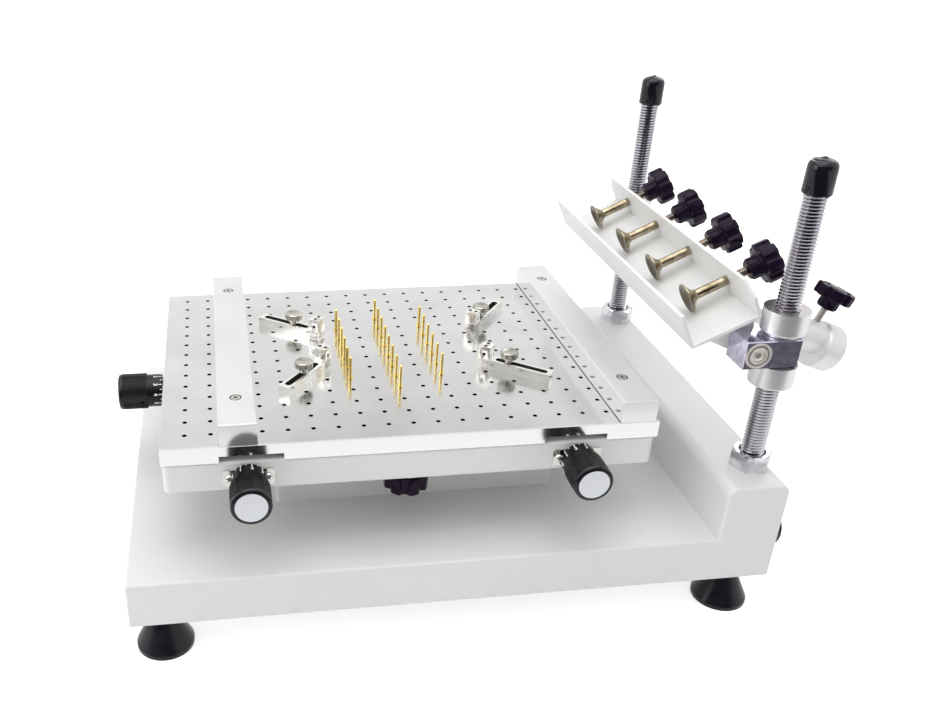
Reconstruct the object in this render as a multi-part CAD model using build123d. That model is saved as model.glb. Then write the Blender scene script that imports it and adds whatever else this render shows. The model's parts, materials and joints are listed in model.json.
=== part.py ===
from build123d import *

import os
from math import cos, pi, radians, sin

# Solder paste stencil printer. All sizes are in millimetres. While it is being built, X runs
# along the base from the worktable to the threaded rods, Y runs away from the operator and Z is
# up from the bench, with the middle of the base at X = Y = 0. At the end every piece is shifted
# together, so that the origin is at bench height under the middle of the whole outline.

# Clearances
RUNNING_FIT = 0.05      # radial gap of a shaft in its bore
SLIDE_FIT = 0.15        # gap between guide faces
SEAT_GAP = 0.3          # gap between faces of pieces that move past each other
REACH_THROUGH = 1.0     # how far a cutting tool runs past the face that it opens
SAME_PLACE = 0.1        # edges nearer than this to a face count as lying on it
OVERLAP = 1.0           # how far two joined solids run into each other

# Base: a sheet box with an upright box along its rear end
BASE_LENGTH = 402.0
BASE_DEPTH = 277.0
SLAB_HEIGHT = 30.0
POST_BOX_WIDTH = 40.0
POST_BOX_RISE = 38.0
SHEET = 2.0
BASE_EDGE = 1.6
POST_BOX_TOP_EDGE = 6.0
COVER_LENGTH = 300.0
COVER_DEPTH = 190.0
COVER_SHEET = 1.5
COVER_CORNER = 4.0
COVER_RECESS = 0.5
PLUG_RADIUS = 14.0
PLUG_LENGTH = 6.0
PLUG_STEM_RADIUS = 5.0
PLUG_STEM_LENGTH = 6.0
PLUG_SETBACK = 19.0
PLUG_HEIGHT = 57.0

# Levelling feet
FOOT_INSET = 19.0
FOOT_HEIGHT = 30.0
FOOT_RIM_RADIUS = 17.5
FOOT_RIM_HEIGHT = 2.6
FOOT_NECK_RADIUS = 7.0
FOOT_PAD_HEIGHT = 24.0
FOOT_STUD_RADIUS = 5.0
FOOT_STUD_ENTRY = 11.0
FOOT_STUD_RISE = 5.0

# Pedestal under the worktable
PEDESTAL_LENGTH = 185.0
PEDESTAL_DEPTH = 129.0
PEDESTAL_HEIGHT = 40.0
PEDESTAL_MIDDLE_X = -16.0
PEDESTAL_CORNER = 2.5

# Fixed bed with its dovetail rails, the bar that the front spindles run through and a tongue
BED_THICKNESS = 4.0
BED_LENGTH = 150.0
TONGUE_WIDTH = 50.0
TONGUE_REACH = 41.0
RAIL_HEIGHT = 4.6
RAIL_TOP_WIDTH = 14.0
RAIL_ROOT_WIDTH = 10.0
RAIL_SPACING = 90.0
Y_RAIL_LENGTH = 104.0
X_RAIL_LENGTH = 116.0
PUSH_BAR_LENGTH = 236.0
PUSH_BAR_DEPTH = 8.0
PUSH_BAR_HEIGHT = 17.0
SPINDLE_SLOT_HEIGHT = 7.0
SPINDLE_SLOT_WIDTH = 24.0

# Sliding carriages
CARRIAGE_THICKNESS = 6.6
Y_CARRIAGE_LENGTH = 132.0
Y_CARRIAGE_DEPTH = 108.0
X_CARRIAGE_LENGTH = 104.0
X_CARRIAGE_DEPTH = 116.0
YAW_BOSS_RADIUS = 16.0
YAW_PIN_RADIUS = 5.0

# Worktable: tray, perforated plate and the two raised bars
PLATE_LENGTH = 298.0
PLATE_DEPTH = 222.0
PLATE_THICKNESS = 11.0
PLATE_EDGE = 0.6
TRAY_END_SETBACK = 0.7  # how far each end of the tray lies inside the plate's end
TRAY_LENGTH = PLATE_LENGTH - 2 * TRAY_END_SETBACK
TRAY_SIDE_SETBACK = 0.5  # the same for its front and back
TRAY_DEPTH = PLATE_DEPTH - 2 * TRAY_SIDE_SETBACK
TRAY_HEIGHT = 18.7
TRAY_CORNER = 4.0
TRAY_TOP_EDGE = 1.8
TABLE_MIDDLE_X = -27.7
TABLE_FRONT_Y = -112.0
HOLE_PITCH = 15.0
HOLE_COLUMNS = 18
HOLE_ROWS = 14
HOLE_RADIUS = 1.5
HOLE_DEPTH = 8.0
HOLE_FACETS = 8
HOLE_LEFT_MARGIN = 14.2
NOTCH_WIDTH = 37.5
NOTCH_HEIGHT = 4.3
NOTCH_DEPTH = 10.0
NOTCH_LEFT_SHIFT = 2.0     # from the middle of the left front dial
NOTCH_RIGHT_SHIFT = -1.0   # from the middle of the right front dial
BAR_WIDTH = 22.0
BAR_HEIGHT = 14.2
BAR_EDGE = 0.5
LEFT_BAR_INSET = 44.7
RIGHT_BAR_INSET = 13.8
BAR_SCREW_FRONT = 31.5
BAR_SCREW_BACK = 27.5
BAR_SCREW_HEAD_RADIUS = 3.6
BAR_SCREW_SHANK_RADIUS = 2.0
BAR_SCREW_HEAD_DEPTH = 2.2
BAR_SCREW_LENGTH = 20.0

# Dial knobs of the fine adjustment
DIAL_SPACING = 198.0
DIAL_HEIGHT = 112.5
DIAL_SKIRT_RADIUS = 10.8
DIAL_SKIRT_LENGTH = 10.0
DIAL_GRIP_RADIUS = 11.9
DIAL_GRIP_LENGTH = 18.7
DIAL_NOSE_EDGE = 1.6
DIAL_FACE_RADIUS = 9.3
DIAL_FACE_THICKNESS = 0.8
DIAL_STAND_OFF = 1.6
SPINDLE_RADIUS = 3.0
FLANGE_WIDTH = 30.0
FLANGE_HEIGHT = 11.0
FLANGE_CORNER = 2.0
FLANGE_THICKNESS = 1.5
FLANGE_SCREW_SPACING = 23.0
FLANGE_SCREW_RADIUS = 2.6
FLANGE_SCREW_HEIGHT = 1.5
FLANGE_SCREW_SHANK = 1.5
BUSH_RADIUS = 5.5
BUSH_LENGTH = 9.0

# Star knobs, for the clamp screws, the balance weight and the table lock
STAR_LOBES = 7
STAR_SCALLOP = 0.236        # radius of a scallop, as a share of the knob's radius
STAR_SCALLOP_CENTRE = 1.07  # distance of its centre, as a share of the knob's radius
STAR_HUB = 0.5              # radius of the hub, as a share of the knob's radius
STAR_EDGE = 1.2

# Table lock
LOCK_X_OFFSET = -0.8
LOCK_SETBACK = 24.5
LOCK_STUD_RADIUS = 4.0
LOCK_HOLE_RADIUS = 13.8
LOCK_KNOB_RADIUS = 14.0
LOCK_KNOB_THICKNESS = 12.0
LOCK_HUB_LENGTH = 3.0
LOCK_WASHER_RADIUS = 15.5
LOCK_WASHER_THICKNESS = 1.6
LOCK_BOSS_RADIUS = 8.0
LOCK_BOSS_HEIGHT = 9.0

# Corner clamps on the plate
CLAMP_LENGTH = 50.0
CLAMP_WIDTH = 8.0
CLAMP_HEIGHT = 6.0
CLAMP_JAW_LENGTH = 8.0
CLAMP_JAW_HEIGHT = 15.0
CLAMP_SLOT_START = 3.0
CLAMP_SLOT_LENGTH = 36.0
CLAMP_SLOT_WIDTH = 4.4
CLAMP_JAW_HOLE_RADIUS = 1.0
CLAMP_JAW_HOLE_HEIGHT = 9.5
THUMB_NECK_RADIUS = 2.8
THUMB_NECK_HEIGHT = 3.4
THUMB_HEAD_RADIUS = 6.0
THUMB_HEAD_HEIGHT = 4.6
THUMB_NECK_TAPER = 0.6
THUMB_HEAD_EDGE = 0.8
THUMB_HEAD_FLARE = 1.2
THUMB_ENTRY = 6.0
# column and row of the hole, direction of the jaw in degrees, distance from hole to jaw end
CORNER_CLAMPS = {
    "near_left": (5, 4, 52.0, 27.0),
    "far_left": (5, 9, -37.0, 23.0),
    "near_right": (14, 4, 142.0, 20.0),
    "far_right": (14, 9, -128.0, 17.5),
}

# Locating pins: column, first row and last row of each line of pins
PIN_LINES = ((7, 4, 9), (9, 3, 10), (11, 4, 9))
PIN_HEIGHT = 16.0
PIN_RADIUS = 1.1
PIN_COLLAR_RADIUS = 1.8
PIN_COLLAR_HEIGHT = 0.9
PIN_SHANK = 6.0

# Threaded rods, their nuts and caps
ROD_X = 186.5
ROD_SPACING = 224.0
ROD_RADIUS = 7.0
ROD_TOP = 291.5
ROD_ENTRY = 20.0
HEX_ACROSS_FLATS = 22.0
HEX_HEIGHT = 11.0
HEX_EDGE = 1.0
HEX_TURN = 20.0
CAP_RADIUS = 8.2
CAP_WALL = 1.5
CAP_HEIGHT = 19.5
CAP_TOP_EDGE = 3.0
CAP_NIPPLE_RADIUS = 2.4
CAP_NIPPLE_HEIGHT = 0.8
ROUND_NUT_RADIUS = 13.2
ROUND_NUT_HEIGHT = 14.2
ROUND_NUT_EDGE = 1.4
NUT_COLLAR_RADIUS = 10.0
NUT_COLLAR_HEIGHT = 1.8

# Hinge blocks that carry the clamp channel on the rods
BLOCK_LENGTH = 34.6
BLOCK_WIDTH = 20.5
BLOCK_HEIGHT = 17.8
BLOCK_BOTTOM = 171.4
BLOCK_EDGE = 0.5
BLOCK_END_FROM_PIVOT = 26.0
PIVOT_FROM_ROD = 17.7
BEARING_RADIUS = 8.0
BEARING_LENGTH = 6.0
BEARING_LIP = 0.6
PIVOT_RADIUS = 4.0
PIVOT_HEAD_RADIUS = 5.2
PIVOT_SOCKET_RADIUS = 2.4
PIVOT_SOCKET_DEPTH = 4.0

# Clamp channel, in its own frame: U runs across the web, V away from it, from the pivot
CHANNEL_TILT = 25.4
CHANNEL_LENGTH = 222.0
CHANNEL_WIDTH = 44.4
CHANNEL_DEPTH = 23.4
CHANNEL_SHEET = 2.0
CHANNEL_WEB_V = 15.6
CHANNEL_FRONT_U = -32.6
CHANNEL_CUT_CORNER = 9.0
BRACKET_THICKNESS = 5.0
BRACKET_BOSS_RADIUS = 8.0
BRACKET_FOOT = 26.0
ARM_LUG_WIDTH = 14.0

# Clamp screws in the channel
SCREW_PITCH_Y = 51.5
SCREW_COUNT = 4
SCREW_V = 27.7
DISC_U = -14.8
DISC_RADIUS = 9.5
DISC_THICKNESS = 1.6
DISC_DISH = 2.0
DISC_CONE_LENGTH = 4.0
SHANK_RADIUS = 3.0
KNOB_START_U = 23.0
KNOB_RADIUS = 13.0
KNOB_THICKNESS = 9.5
KNOB_HUB_LENGTH = 8.0
STUD_GRIP = 6.0

# Balance weight on its arm behind the channel
ARM_Y = -73.5
ARM_ANGLE = -22.0
ARM_RISE = 12.0             # distance of the arm's axis from the pivot line
ARM_RADIUS = 5.0
ARM_START = -4.0
ARM_LENGTH = 89.0
ARM_BOSS_RADIUS = 7.5
ARM_BOSS_LENGTH = 10.0
WEIGHT_CENTRE = 76.0
WEIGHT_RADIUS = 15.3
WEIGHT_LENGTH = 14.5
WEIGHT_DROP = 3.5           # how far the drum's axis lies below the arm's
WEIGHT_HUB_RADIUS = 10.4
WEIGHT_HUB_LENGTH = 13.0
WEIGHT_EDGE = 1.2
WEIGHT_SCREW_RADIUS = 2.5
WEIGHT_SCREW_REACH = 19.6
WEIGHT_SCREW_FROM_DRUM = 6.5
WEIGHT_KNOB_RADIUS = 12.2
WEIGHT_KNOB_THICKNESS = 7.5
WEIGHT_KNOB_HUB_LENGTH = 6.5

# Travel of the table to each side, which also sets how long the guide grooves are
TABLE_TRAVEL = 6.0

# Levels and lines that several pieces share
SLAB_BOTTOM = FOOT_HEIGHT
SLAB_TOP = SLAB_BOTTOM + SLAB_HEIGHT
POST_BOX_TOP = SLAB_TOP + POST_BOX_RISE
BASE_RIGHT = BASE_LENGTH / 2
PLUG_Y = -BASE_DEPTH / 2 + PLUG_SETBACK
POST_BOX_LEFT = BASE_RIGHT - POST_BOX_WIDTH
PEDESTAL_TOP = SLAB_TOP + PEDESTAL_HEIGHT
BED_TOP = PEDESTAL_TOP + BED_THICKNESS
Y_CARRIAGE_BOTTOM = BED_TOP + SEAT_GAP
Y_CARRIAGE_TOP = Y_CARRIAGE_BOTTOM + CARRIAGE_THICKNESS
X_CARRIAGE_BOTTOM = Y_CARRIAGE_TOP + SEAT_GAP
X_CARRIAGE_TOP = X_CARRIAGE_BOTTOM + CARRIAGE_THICKNESS
TRAY_BOTTOM = BED_TOP + SEAT_GAP
TRAY_TOP = TRAY_BOTTOM + TRAY_HEIGHT
TRAY_SKIN = TRAY_TOP - SHEET
PLATE_TOP = TRAY_TOP + PLATE_THICKNESS
BAR_TOP = PLATE_TOP + BAR_HEIGHT
TABLE_BACK_Y = TABLE_FRONT_Y + PLATE_DEPTH
TABLE_MIDDLE_Y = TABLE_FRONT_Y + PLATE_DEPTH / 2
TRAY_FRONT = TABLE_MIDDLE_Y - TRAY_DEPTH / 2
TRAY_LEFT = TABLE_MIDDLE_X - TRAY_LENGTH / 2
PLATE_LEFT = TABLE_MIDDLE_X - PLATE_LENGTH / 2
LEFT_BAR_X = PLATE_LEFT + LEFT_BAR_INSET
RIGHT_BAR_X = PLATE_LEFT + PLATE_LENGTH - RIGHT_BAR_INSET
HOLE_FIRST_X = PLATE_LEFT + HOLE_LEFT_MARGIN
HOLE_FIRST_Y = -HOLE_PITCH * (HOLE_ROWS - 1) / 2
HOLE_SHANK_RADIUS = HOLE_RADIUS * cos(pi / HOLE_FACETS) - RUNNING_FIT
DIAL_FRONT_LEFT_X = TABLE_MIDDLE_X - DIAL_SPACING / 2
DIAL_FRONT_RIGHT_X = TABLE_MIDDLE_X + DIAL_SPACING / 2
LOCK_X = TABLE_MIDDLE_X + LOCK_X_OFFSET
LOCK_Y = TABLE_FRONT_Y + LOCK_SETBACK
PUSH_BAR_Y = -PEDESTAL_DEPTH / 2 - PUSH_BAR_DEPTH
BLOCK_TOP = BLOCK_BOTTOM + BLOCK_HEIGHT
PIVOT_X = ROD_X - PIVOT_FROM_ROD
PIVOT_Z = BLOCK_BOTTOM + BLOCK_HEIGHT / 2
ROD_Y = ROD_SPACING / 2
CHANNEL_REAR_U = CHANNEL_FRONT_U + CHANNEL_WIDTH
CHANNEL_TOP_V = CHANNEL_WEB_V + CHANNEL_DEPTH

UP = Align.MIN
MID = Align.CENTER
STANDING = (MID, MID, UP)

# Frame of the channel: origin on the pivot line, X across the web, Z out of the open side
TILTED = Plane(
    origin=(PIVOT_X, 0, PIVOT_Z),
    x_dir=(cos(radians(CHANNEL_TILT)), 0, sin(radians(CHANNEL_TILT))),
    z_dir=(-sin(radians(CHANNEL_TILT)), 0, cos(radians(CHANNEL_TILT))),
)
# Frame of the balance arm: Z runs along the arm, away from the channel, and X points up from it
ARM_UP = (-sin(radians(ARM_ANGLE)), 0, cos(radians(ARM_ANGLE)))
ARM = Plane(
    origin=(PIVOT_X + ARM_RISE * ARM_UP[0], ARM_Y, PIVOT_Z + ARM_RISE * ARM_UP[2]),
    x_dir=ARM_UP,
    z_dir=(cos(radians(ARM_ANGLE)), 0, sin(radians(ARM_ANGLE))),
)


def block(x_range, y_range, z_range):
    """A box between two X, two Y and two Z values."""
    size = [high - low for low, high in (x_range, y_range, z_range)]
    middle = [(low + high) / 2 for low, high in (x_range, y_range, z_range)]
    return Pos(*middle) * Box(*size)


def round_bar(radius, start, direction, length):
    """A cylinder from a start point along a direction."""
    return Plane(origin=start, z_dir=direction) * Cylinder(radius, length, align=STANDING)


def turned(points):
    """A solid turned about Z from (radius, height) points that start and end on the axis."""
    profile = make_face(Polyline(*[(r, 0, z) for r, z in points], close=True))
    return revolve(profile, Axis.Z, 360)


def standing_edges(shape):
    """The edges that run along Z."""
    return shape.edges().filter_by(Axis.Z)


def hole_place(column, row):
    """X and Y of one hole of the plate's grid."""
    return HOLE_FIRST_X + HOLE_PITCH * column, HOLE_FIRST_Y + HOLE_PITCH * row


def screw_rows():
    """Y of each clamp screw, from the operator's side."""
    first = -SCREW_PITCH_Y * (SCREW_COUNT - 1) / 2
    return [first + SCREW_PITCH_Y * index for index in range(SCREW_COUNT)]


def foot_places():
    """X and Y of each foot, by name."""
    x = BASE_LENGTH / 2 - FOOT_INSET
    y = BASE_DEPTH / 2 - FOOT_INSET
    return {
        "near_left": (-x, -y),
        "near_right": (x, -y),
        "far_left": (-x, y),
        "far_right": (x, y),
    }


# Base and what is fixed to it


def side_outline():
    """Side view of the base: a low slab that steps up to the post box."""
    left = -BASE_LENGTH / 2
    outline = make_face(Polyline(
        (left, SLAB_BOTTOM), (BASE_RIGHT, SLAB_BOTTOM), (BASE_RIGHT, POST_BOX_TOP),
        (POST_BOX_LEFT, POST_BOX_TOP), (POST_BOX_LEFT, SLAB_TOP), (left, SLAB_TOP), close=True))
    top_corners = outline.vertices().group_by(Axis.Y)[-1]
    return fillet(top_corners, POST_BOX_TOP_EDGE)


def is_outer_base_edge(edge):
    """Whether an edge of the plain housing is an outer one above its underside."""
    middle = edge.center()
    in_step = abs(middle.X - POST_BOX_LEFT) < SAME_PLACE and abs(middle.Z - SLAB_TOP) < SAME_PLACE
    on_side = abs(middle.Y) > BASE_DEPTH / 2 - SAME_PLACE
    on_front_top = abs(middle.X + BASE_LENGTH / 2) < SAME_PLACE and middle.Z > SLAB_TOP - SAME_PLACE
    return middle.Z > SLAB_BOTTOM + SAME_PLACE and not in_step and (on_side or on_front_top)


def base_body():
    """Closed housing: a low slab with the upright box along its rear end."""
    body = extrude(Plane.XZ * side_outline(), BASE_DEPTH / 2, both=True)
    body = fillet(body.edges().filter_by(is_outer_base_edge), BASE_EDGE)
    body -= Pos(0, 0, SLAB_BOTTOM - REACH_THROUGH) * Box(
        COVER_LENGTH + COVER_RECESS, COVER_DEPTH + COVER_RECESS, COVER_SHEET + REACH_THROUGH, align=STANDING)
    for x, y in foot_places().values():
        body -= Pos(x, y, SLAB_BOTTOM - REACH_THROUGH) * Cylinder(
            FOOT_STUD_RADIUS + RUNNING_FIT, FOOT_STUD_ENTRY + FOOT_STUD_RISE + REACH_THROUGH, align=STANDING)
    for y in (-ROD_Y, ROD_Y):
        body -= Pos(ROD_X, y, POST_BOX_TOP - ROD_ENTRY) * Cylinder(
            ROD_RADIUS + RUNNING_FIT, ROD_ENTRY + REACH_THROUGH, align=STANDING)
    body -= round_bar(PLUG_STEM_RADIUS + RUNNING_FIT, (BASE_RIGHT - PLUG_STEM_LENGTH, PLUG_Y, PLUG_HEIGHT),
                      (1, 0, 0), PLUG_STEM_LENGTH + REACH_THROUGH)
    return body


def base_cover():
    """Flat cover let into the underside."""
    sheet = Pos(0, 0, SLAB_BOTTOM) * Box(COVER_LENGTH, COVER_DEPTH, COVER_SHEET, align=STANDING)
    return fillet(standing_edges(sheet), COVER_CORNER)


def side_plug():
    """Black round plug pressed into the right end of the base."""
    face = (BASE_RIGHT, PLUG_Y, PLUG_HEIGHT)
    head = round_bar(PLUG_RADIUS, face, (1, 0, 0), PLUG_LENGTH)
    head = fillet(head.edges().sort_by(Axis.X)[-1], PLUG_LENGTH / 4)
    return head + round_bar(PLUG_STEM_RADIUS, face, (-1, 0, 0), PLUG_STEM_LENGTH)


def foot(x, y):
    """Levelling foot: a cone moulded on a threaded stud."""
    pad = turned([(0, 0), (FOOT_RIM_RADIUS, 0), (FOOT_RIM_RADIUS, FOOT_RIM_HEIGHT),
                  (FOOT_NECK_RADIUS, FOOT_PAD_HEIGHT), (0, FOOT_PAD_HEIGHT)])
    stud = Pos(0, 0, OVERLAP) * Cylinder(
        FOOT_STUD_RADIUS, SLAB_BOTTOM + FOOT_STUD_ENTRY - OVERLAP, align=STANDING)
    return Pos(x, y, 0) * (pad + stud)


def pedestal():
    """White sheet box that stands on the base and carries the bed."""
    body = Pos(PEDESTAL_MIDDLE_X, 0, SLAB_TOP) * Box(
        PEDESTAL_LENGTH, PEDESTAL_DEPTH, PEDESTAL_HEIGHT, align=STANDING)
    return fillet(standing_edges(body), PEDESTAL_CORNER)


def dovetail(length, root, top, height):
    """A rail along X that is wider at its top than at its root, standing on Z = 0."""
    section = Plane.YZ * make_face(Polyline(
        (-root / 2, 0), (root / 2, 0), (top / 2, height), (-top / 2, height), close=True))
    return Pos(-length / 2, 0, 0) * extrude(section, length, dir=(1, 0, 0))


def rail_pair(length, turned_by, x, y, z, extra=0.0, lift=0.0):
    """Two parallel dovetail rails, or with an extra width and lift the grooves for them."""
    rails = []
    for side in (-1, 1):
        rail = dovetail(length, RAIL_ROOT_WIDTH + 2 * extra, RAIL_TOP_WIDTH + 2 * extra, RAIL_HEIGHT + lift)
        rails.append(Pos(x, y, z) * Rot(0, 0, turned_by) * Pos(0, side * RAIL_SPACING / 2, 0) * rail)
    return rails


def slide_bed():
    """Fixed bed on the pedestal, with the rails for front and back travel."""
    front = -PEDESTAL_DEPTH / 2
    middle = TABLE_MIDDLE_X
    bed = block((middle - BED_LENGTH / 2, middle + BED_LENGTH / 2), (front, -front), (PEDESTAL_TOP, BED_TOP))
    bed += block((middle - TONGUE_WIDTH / 2, middle + TONGUE_WIDTH / 2), (front - TONGUE_REACH, front),
                 (PEDESTAL_TOP, BED_TOP))
    bed += block((middle - PUSH_BAR_LENGTH / 2, middle + PUSH_BAR_LENGTH / 2), (PUSH_BAR_Y, front),
                 (PEDESTAL_TOP, PEDESTAL_TOP + PUSH_BAR_HEIGHT))
    for x in (DIAL_FRONT_LEFT_X, DIAL_FRONT_RIGHT_X):
        slot = Pos(x, front, DIAL_HEIGHT) * Rot(90, 0, 0) * SlotOverall(SPINDLE_SLOT_WIDTH, SPINDLE_SLOT_HEIGHT)
        bed -= extrude(slot, PUSH_BAR_DEPTH + REACH_THROUGH, both=True)
    for rail in rail_pair(Y_RAIL_LENGTH, 90, middle, 0, BED_TOP):
        bed += rail
    bed -= Pos(LOCK_X, LOCK_Y, PEDESTAL_TOP - REACH_THROUGH) * Cylinder(
        LOCK_HOLE_RADIUS, BED_THICKNESS + 2 * REACH_THROUGH, align=STANDING)
    return bed


def threaded_rod(side):
    """One of the two rods that stand in the rear box."""
    return Pos(ROD_X, side * ROD_Y, POST_BOX_TOP - ROD_ENTRY) * Cylinder(
        ROD_RADIUS, ROD_TOP - POST_BOX_TOP + ROD_ENTRY, align=STANDING)


def hex_nut():
    """A hexagon nut with chamfered corners, standing on Z = 0."""
    hexagon = extrude(RegularPolygon(HEX_ACROSS_FLATS / 2, 6, major_radius=False), HEX_HEIGHT)
    corner = HEX_ACROSS_FLATS / 2 / cos(pi / 6)
    dome = turned([(0, 0), (corner - HEX_EDGE, 0), (corner, HEX_EDGE), (corner, HEX_HEIGHT - HEX_EDGE),
                   (corner - HEX_EDGE, HEX_HEIGHT), (0, HEX_HEIGHT)])
    bore = Pos(0, 0, -REACH_THROUGH) * Cylinder(
        ROD_RADIUS + RUNNING_FIT, HEX_HEIGHT + 2 * REACH_THROUGH, align=STANDING)
    return Rot(0, 0, HEX_TURN) * ((hexagon & dome) - bore)


def rod_base_nuts():
    """Hexagon nuts that lock both rods on top of the post box."""
    return [Pos(ROD_X, side * ROD_Y, POST_BOX_TOP) * hex_nut() for side in (-1, 1)]


def rod_cap(side):
    """Black dipped cap over the top of a rod, with its small nipple."""
    top = ROD_TOP + CAP_WALL
    cap = Cylinder(CAP_RADIUS, CAP_HEIGHT, align=STANDING)
    cap = fillet(cap.edges().sort_by(Axis.Z)[-1], CAP_TOP_EDGE)
    cap += Pos(0, 0, CAP_HEIGHT - OVERLAP) * Cylinder(
        CAP_NIPPLE_RADIUS, CAP_NIPPLE_HEIGHT + OVERLAP, align=STANDING)
    cap -= Pos(0, 0, -REACH_THROUGH) * Cylinder(
        ROD_RADIUS + RUNNING_FIT, CAP_HEIGHT - CAP_WALL + REACH_THROUGH, align=STANDING)
    return Pos(ROD_X, side * ROD_Y, top - CAP_HEIGHT) * cap


# Sliding carriages


def y_carriage():
    """Plate that slides to front and back on the bed and carries the rails for left and right."""
    middle = TABLE_MIDDLE_X
    plate = block((middle - Y_CARRIAGE_LENGTH / 2, middle + Y_CARRIAGE_LENGTH / 2),
                  (-Y_CARRIAGE_DEPTH / 2, Y_CARRIAGE_DEPTH / 2),
                  (Y_CARRIAGE_BOTTOM, Y_CARRIAGE_TOP))
    for groove in rail_pair(Y_RAIL_LENGTH + 4 * TABLE_TRAVEL, 90, middle, 0, BED_TOP, SLIDE_FIT, SEAT_GAP):
        plate -= groove
    for rail in rail_pair(X_RAIL_LENGTH, 0, middle, 0, Y_CARRIAGE_TOP):
        plate += rail
    return plate


def x_carriage():
    """Plate that slides left and right and carries the pin the worktable turns on."""
    middle = TABLE_MIDDLE_X
    plate = block((middle - X_CARRIAGE_LENGTH / 2, middle + X_CARRIAGE_LENGTH / 2),
                  (-X_CARRIAGE_DEPTH / 2, X_CARRIAGE_DEPTH / 2), (X_CARRIAGE_BOTTOM, X_CARRIAGE_TOP))
    for groove in rail_pair(X_RAIL_LENGTH + 4 * TABLE_TRAVEL, 0, middle, 0, Y_CARRIAGE_TOP, SLIDE_FIT,
                            SEAT_GAP):
        plate -= groove
    boss_top = TRAY_SKIN - SEAT_GAP
    plate += Pos(middle, 0, X_CARRIAGE_TOP) * Cylinder(YAW_BOSS_RADIUS, boss_top - X_CARRIAGE_TOP, align=STANDING)
    plate += Pos(middle, 0, boss_top) * Cylinder(YAW_PIN_RADIUS, SHEET, align=STANDING)
    return plate


# Worktable


def dial_frames():
    """For each dial, the frame with its origin on the tray wall and Z pointing out of it."""
    return {
        "front_left": Plane(origin=(DIAL_FRONT_LEFT_X, TRAY_FRONT, DIAL_HEIGHT), x_dir=(1, 0, 0), z_dir=(0, -1, 0)),
        "front_right": Plane(origin=(DIAL_FRONT_RIGHT_X, TRAY_FRONT, DIAL_HEIGHT), x_dir=(1, 0, 0),
                             z_dir=(0, -1, 0)),
        "left": Plane(origin=(TRAY_LEFT, 0, DIAL_HEIGHT), x_dir=(0, -1, 0), z_dir=(-1, 0, 0)),
    }


def tray():
    """White sheet pan, open below, that hides the carriages and carries the plate."""
    outer = Pos(TABLE_MIDDLE_X, TABLE_MIDDLE_Y, TRAY_BOTTOM) * Box(
        TRAY_LENGTH, TRAY_DEPTH, TRAY_HEIGHT, align=STANDING)
    outer = fillet(standing_edges(outer), TRAY_CORNER)
    outer = fillet(outer.faces().sort_by(Axis.Z)[-1].edges(), TRAY_TOP_EDGE)
    inner = Pos(TABLE_MIDDLE_X, TABLE_MIDDLE_Y, TRAY_BOTTOM - REACH_THROUGH) * Box(
        TRAY_LENGTH - 2 * SHEET, TRAY_DEPTH - 2 * SHEET, TRAY_HEIGHT - SHEET + REACH_THROUGH, align=STANDING)
    pan = outer - inner
    pan += Pos(LOCK_X, LOCK_Y, TRAY_SKIN - LOCK_BOSS_HEIGHT) * Cylinder(
        LOCK_BOSS_RADIUS, LOCK_BOSS_HEIGHT, align=STANDING)
    pan -= Pos(LOCK_X, LOCK_Y, TRAY_BOTTOM) * Cylinder(
        LOCK_STUD_RADIUS + RUNNING_FIT, TRAY_HEIGHT - SHEET, align=STANDING)
    pan -= Pos(TABLE_MIDDLE_X, 0, TRAY_SKIN - REACH_THROUGH) * Cylinder(
        YAW_PIN_RADIUS + RUNNING_FIT, SHEET + 2 * REACH_THROUGH, align=STANDING)
    for frame in dial_frames().values():
        pan -= frame * Pos(0, 0, -SHEET - REACH_THROUGH) * Cylinder(
            BUSH_RADIUS, SHEET + 2 * REACH_THROUGH, align=STANDING)
    return pan


def under_left_bar(x):
    """Whether a hole at this X would open under the left bar."""
    return abs(x - LEFT_BAR_X) < BAR_WIDTH / 2 + HOLE_RADIUS


def hole_grid():
    """X and Y of every hole that the plate really has."""
    places = [hole_place(column, row) for column in range(HOLE_COLUMNS) for row in range(HOLE_ROWS)]
    return [(x, y) for x, y in places if not under_left_bar(x)]


def perforated_plate():
    """Thick plate with the grid of holes, and a notch over each front dial."""
    plate = block((PLATE_LEFT, PLATE_LEFT + PLATE_LENGTH), (TABLE_FRONT_Y, TABLE_BACK_Y), (TRAY_TOP, PLATE_TOP))
    plate = chamfer(plate.faces().sort_by(Axis.Z)[-1].edges(), PLATE_EDGE)
    for x in (DIAL_FRONT_LEFT_X + NOTCH_LEFT_SHIFT, DIAL_FRONT_RIGHT_X + NOTCH_RIGHT_SHIFT):
        plate -= block((x - NOTCH_WIDTH / 2, x + NOTCH_WIDTH / 2),
                       (TABLE_FRONT_Y - REACH_THROUGH, TABLE_FRONT_Y + NOTCH_DEPTH),
                       (TRAY_TOP - REACH_THROUGH, TRAY_TOP + NOTCH_HEIGHT))
    drill = extrude(RegularPolygon(HOLE_RADIUS, HOLE_FACETS), HOLE_DEPTH + REACH_THROUGH)
    drills = [Pos(x, y, PLATE_TOP - HOLE_DEPTH) * drill for x, y in hole_grid()]
    plate -= drills
    for place in bar_screw_places():
        plate -= place * countersunk_screw(RUNNING_FIT)
    return plate


def raised_bar(x):
    """One of the two bars that the stencil frame lands on, with its countersunk holes."""
    bar = block((x - BAR_WIDTH / 2, x + BAR_WIDTH / 2), (TABLE_FRONT_Y, TABLE_BACK_Y), (PLATE_TOP, BAR_TOP))
    bar = chamfer(bar.faces().sort_by(Axis.Z)[-1].edges(), BAR_EDGE)
    for place in bar_screw_places():
        bar -= place * countersunk_screw(RUNNING_FIT)
    return bar


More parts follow.
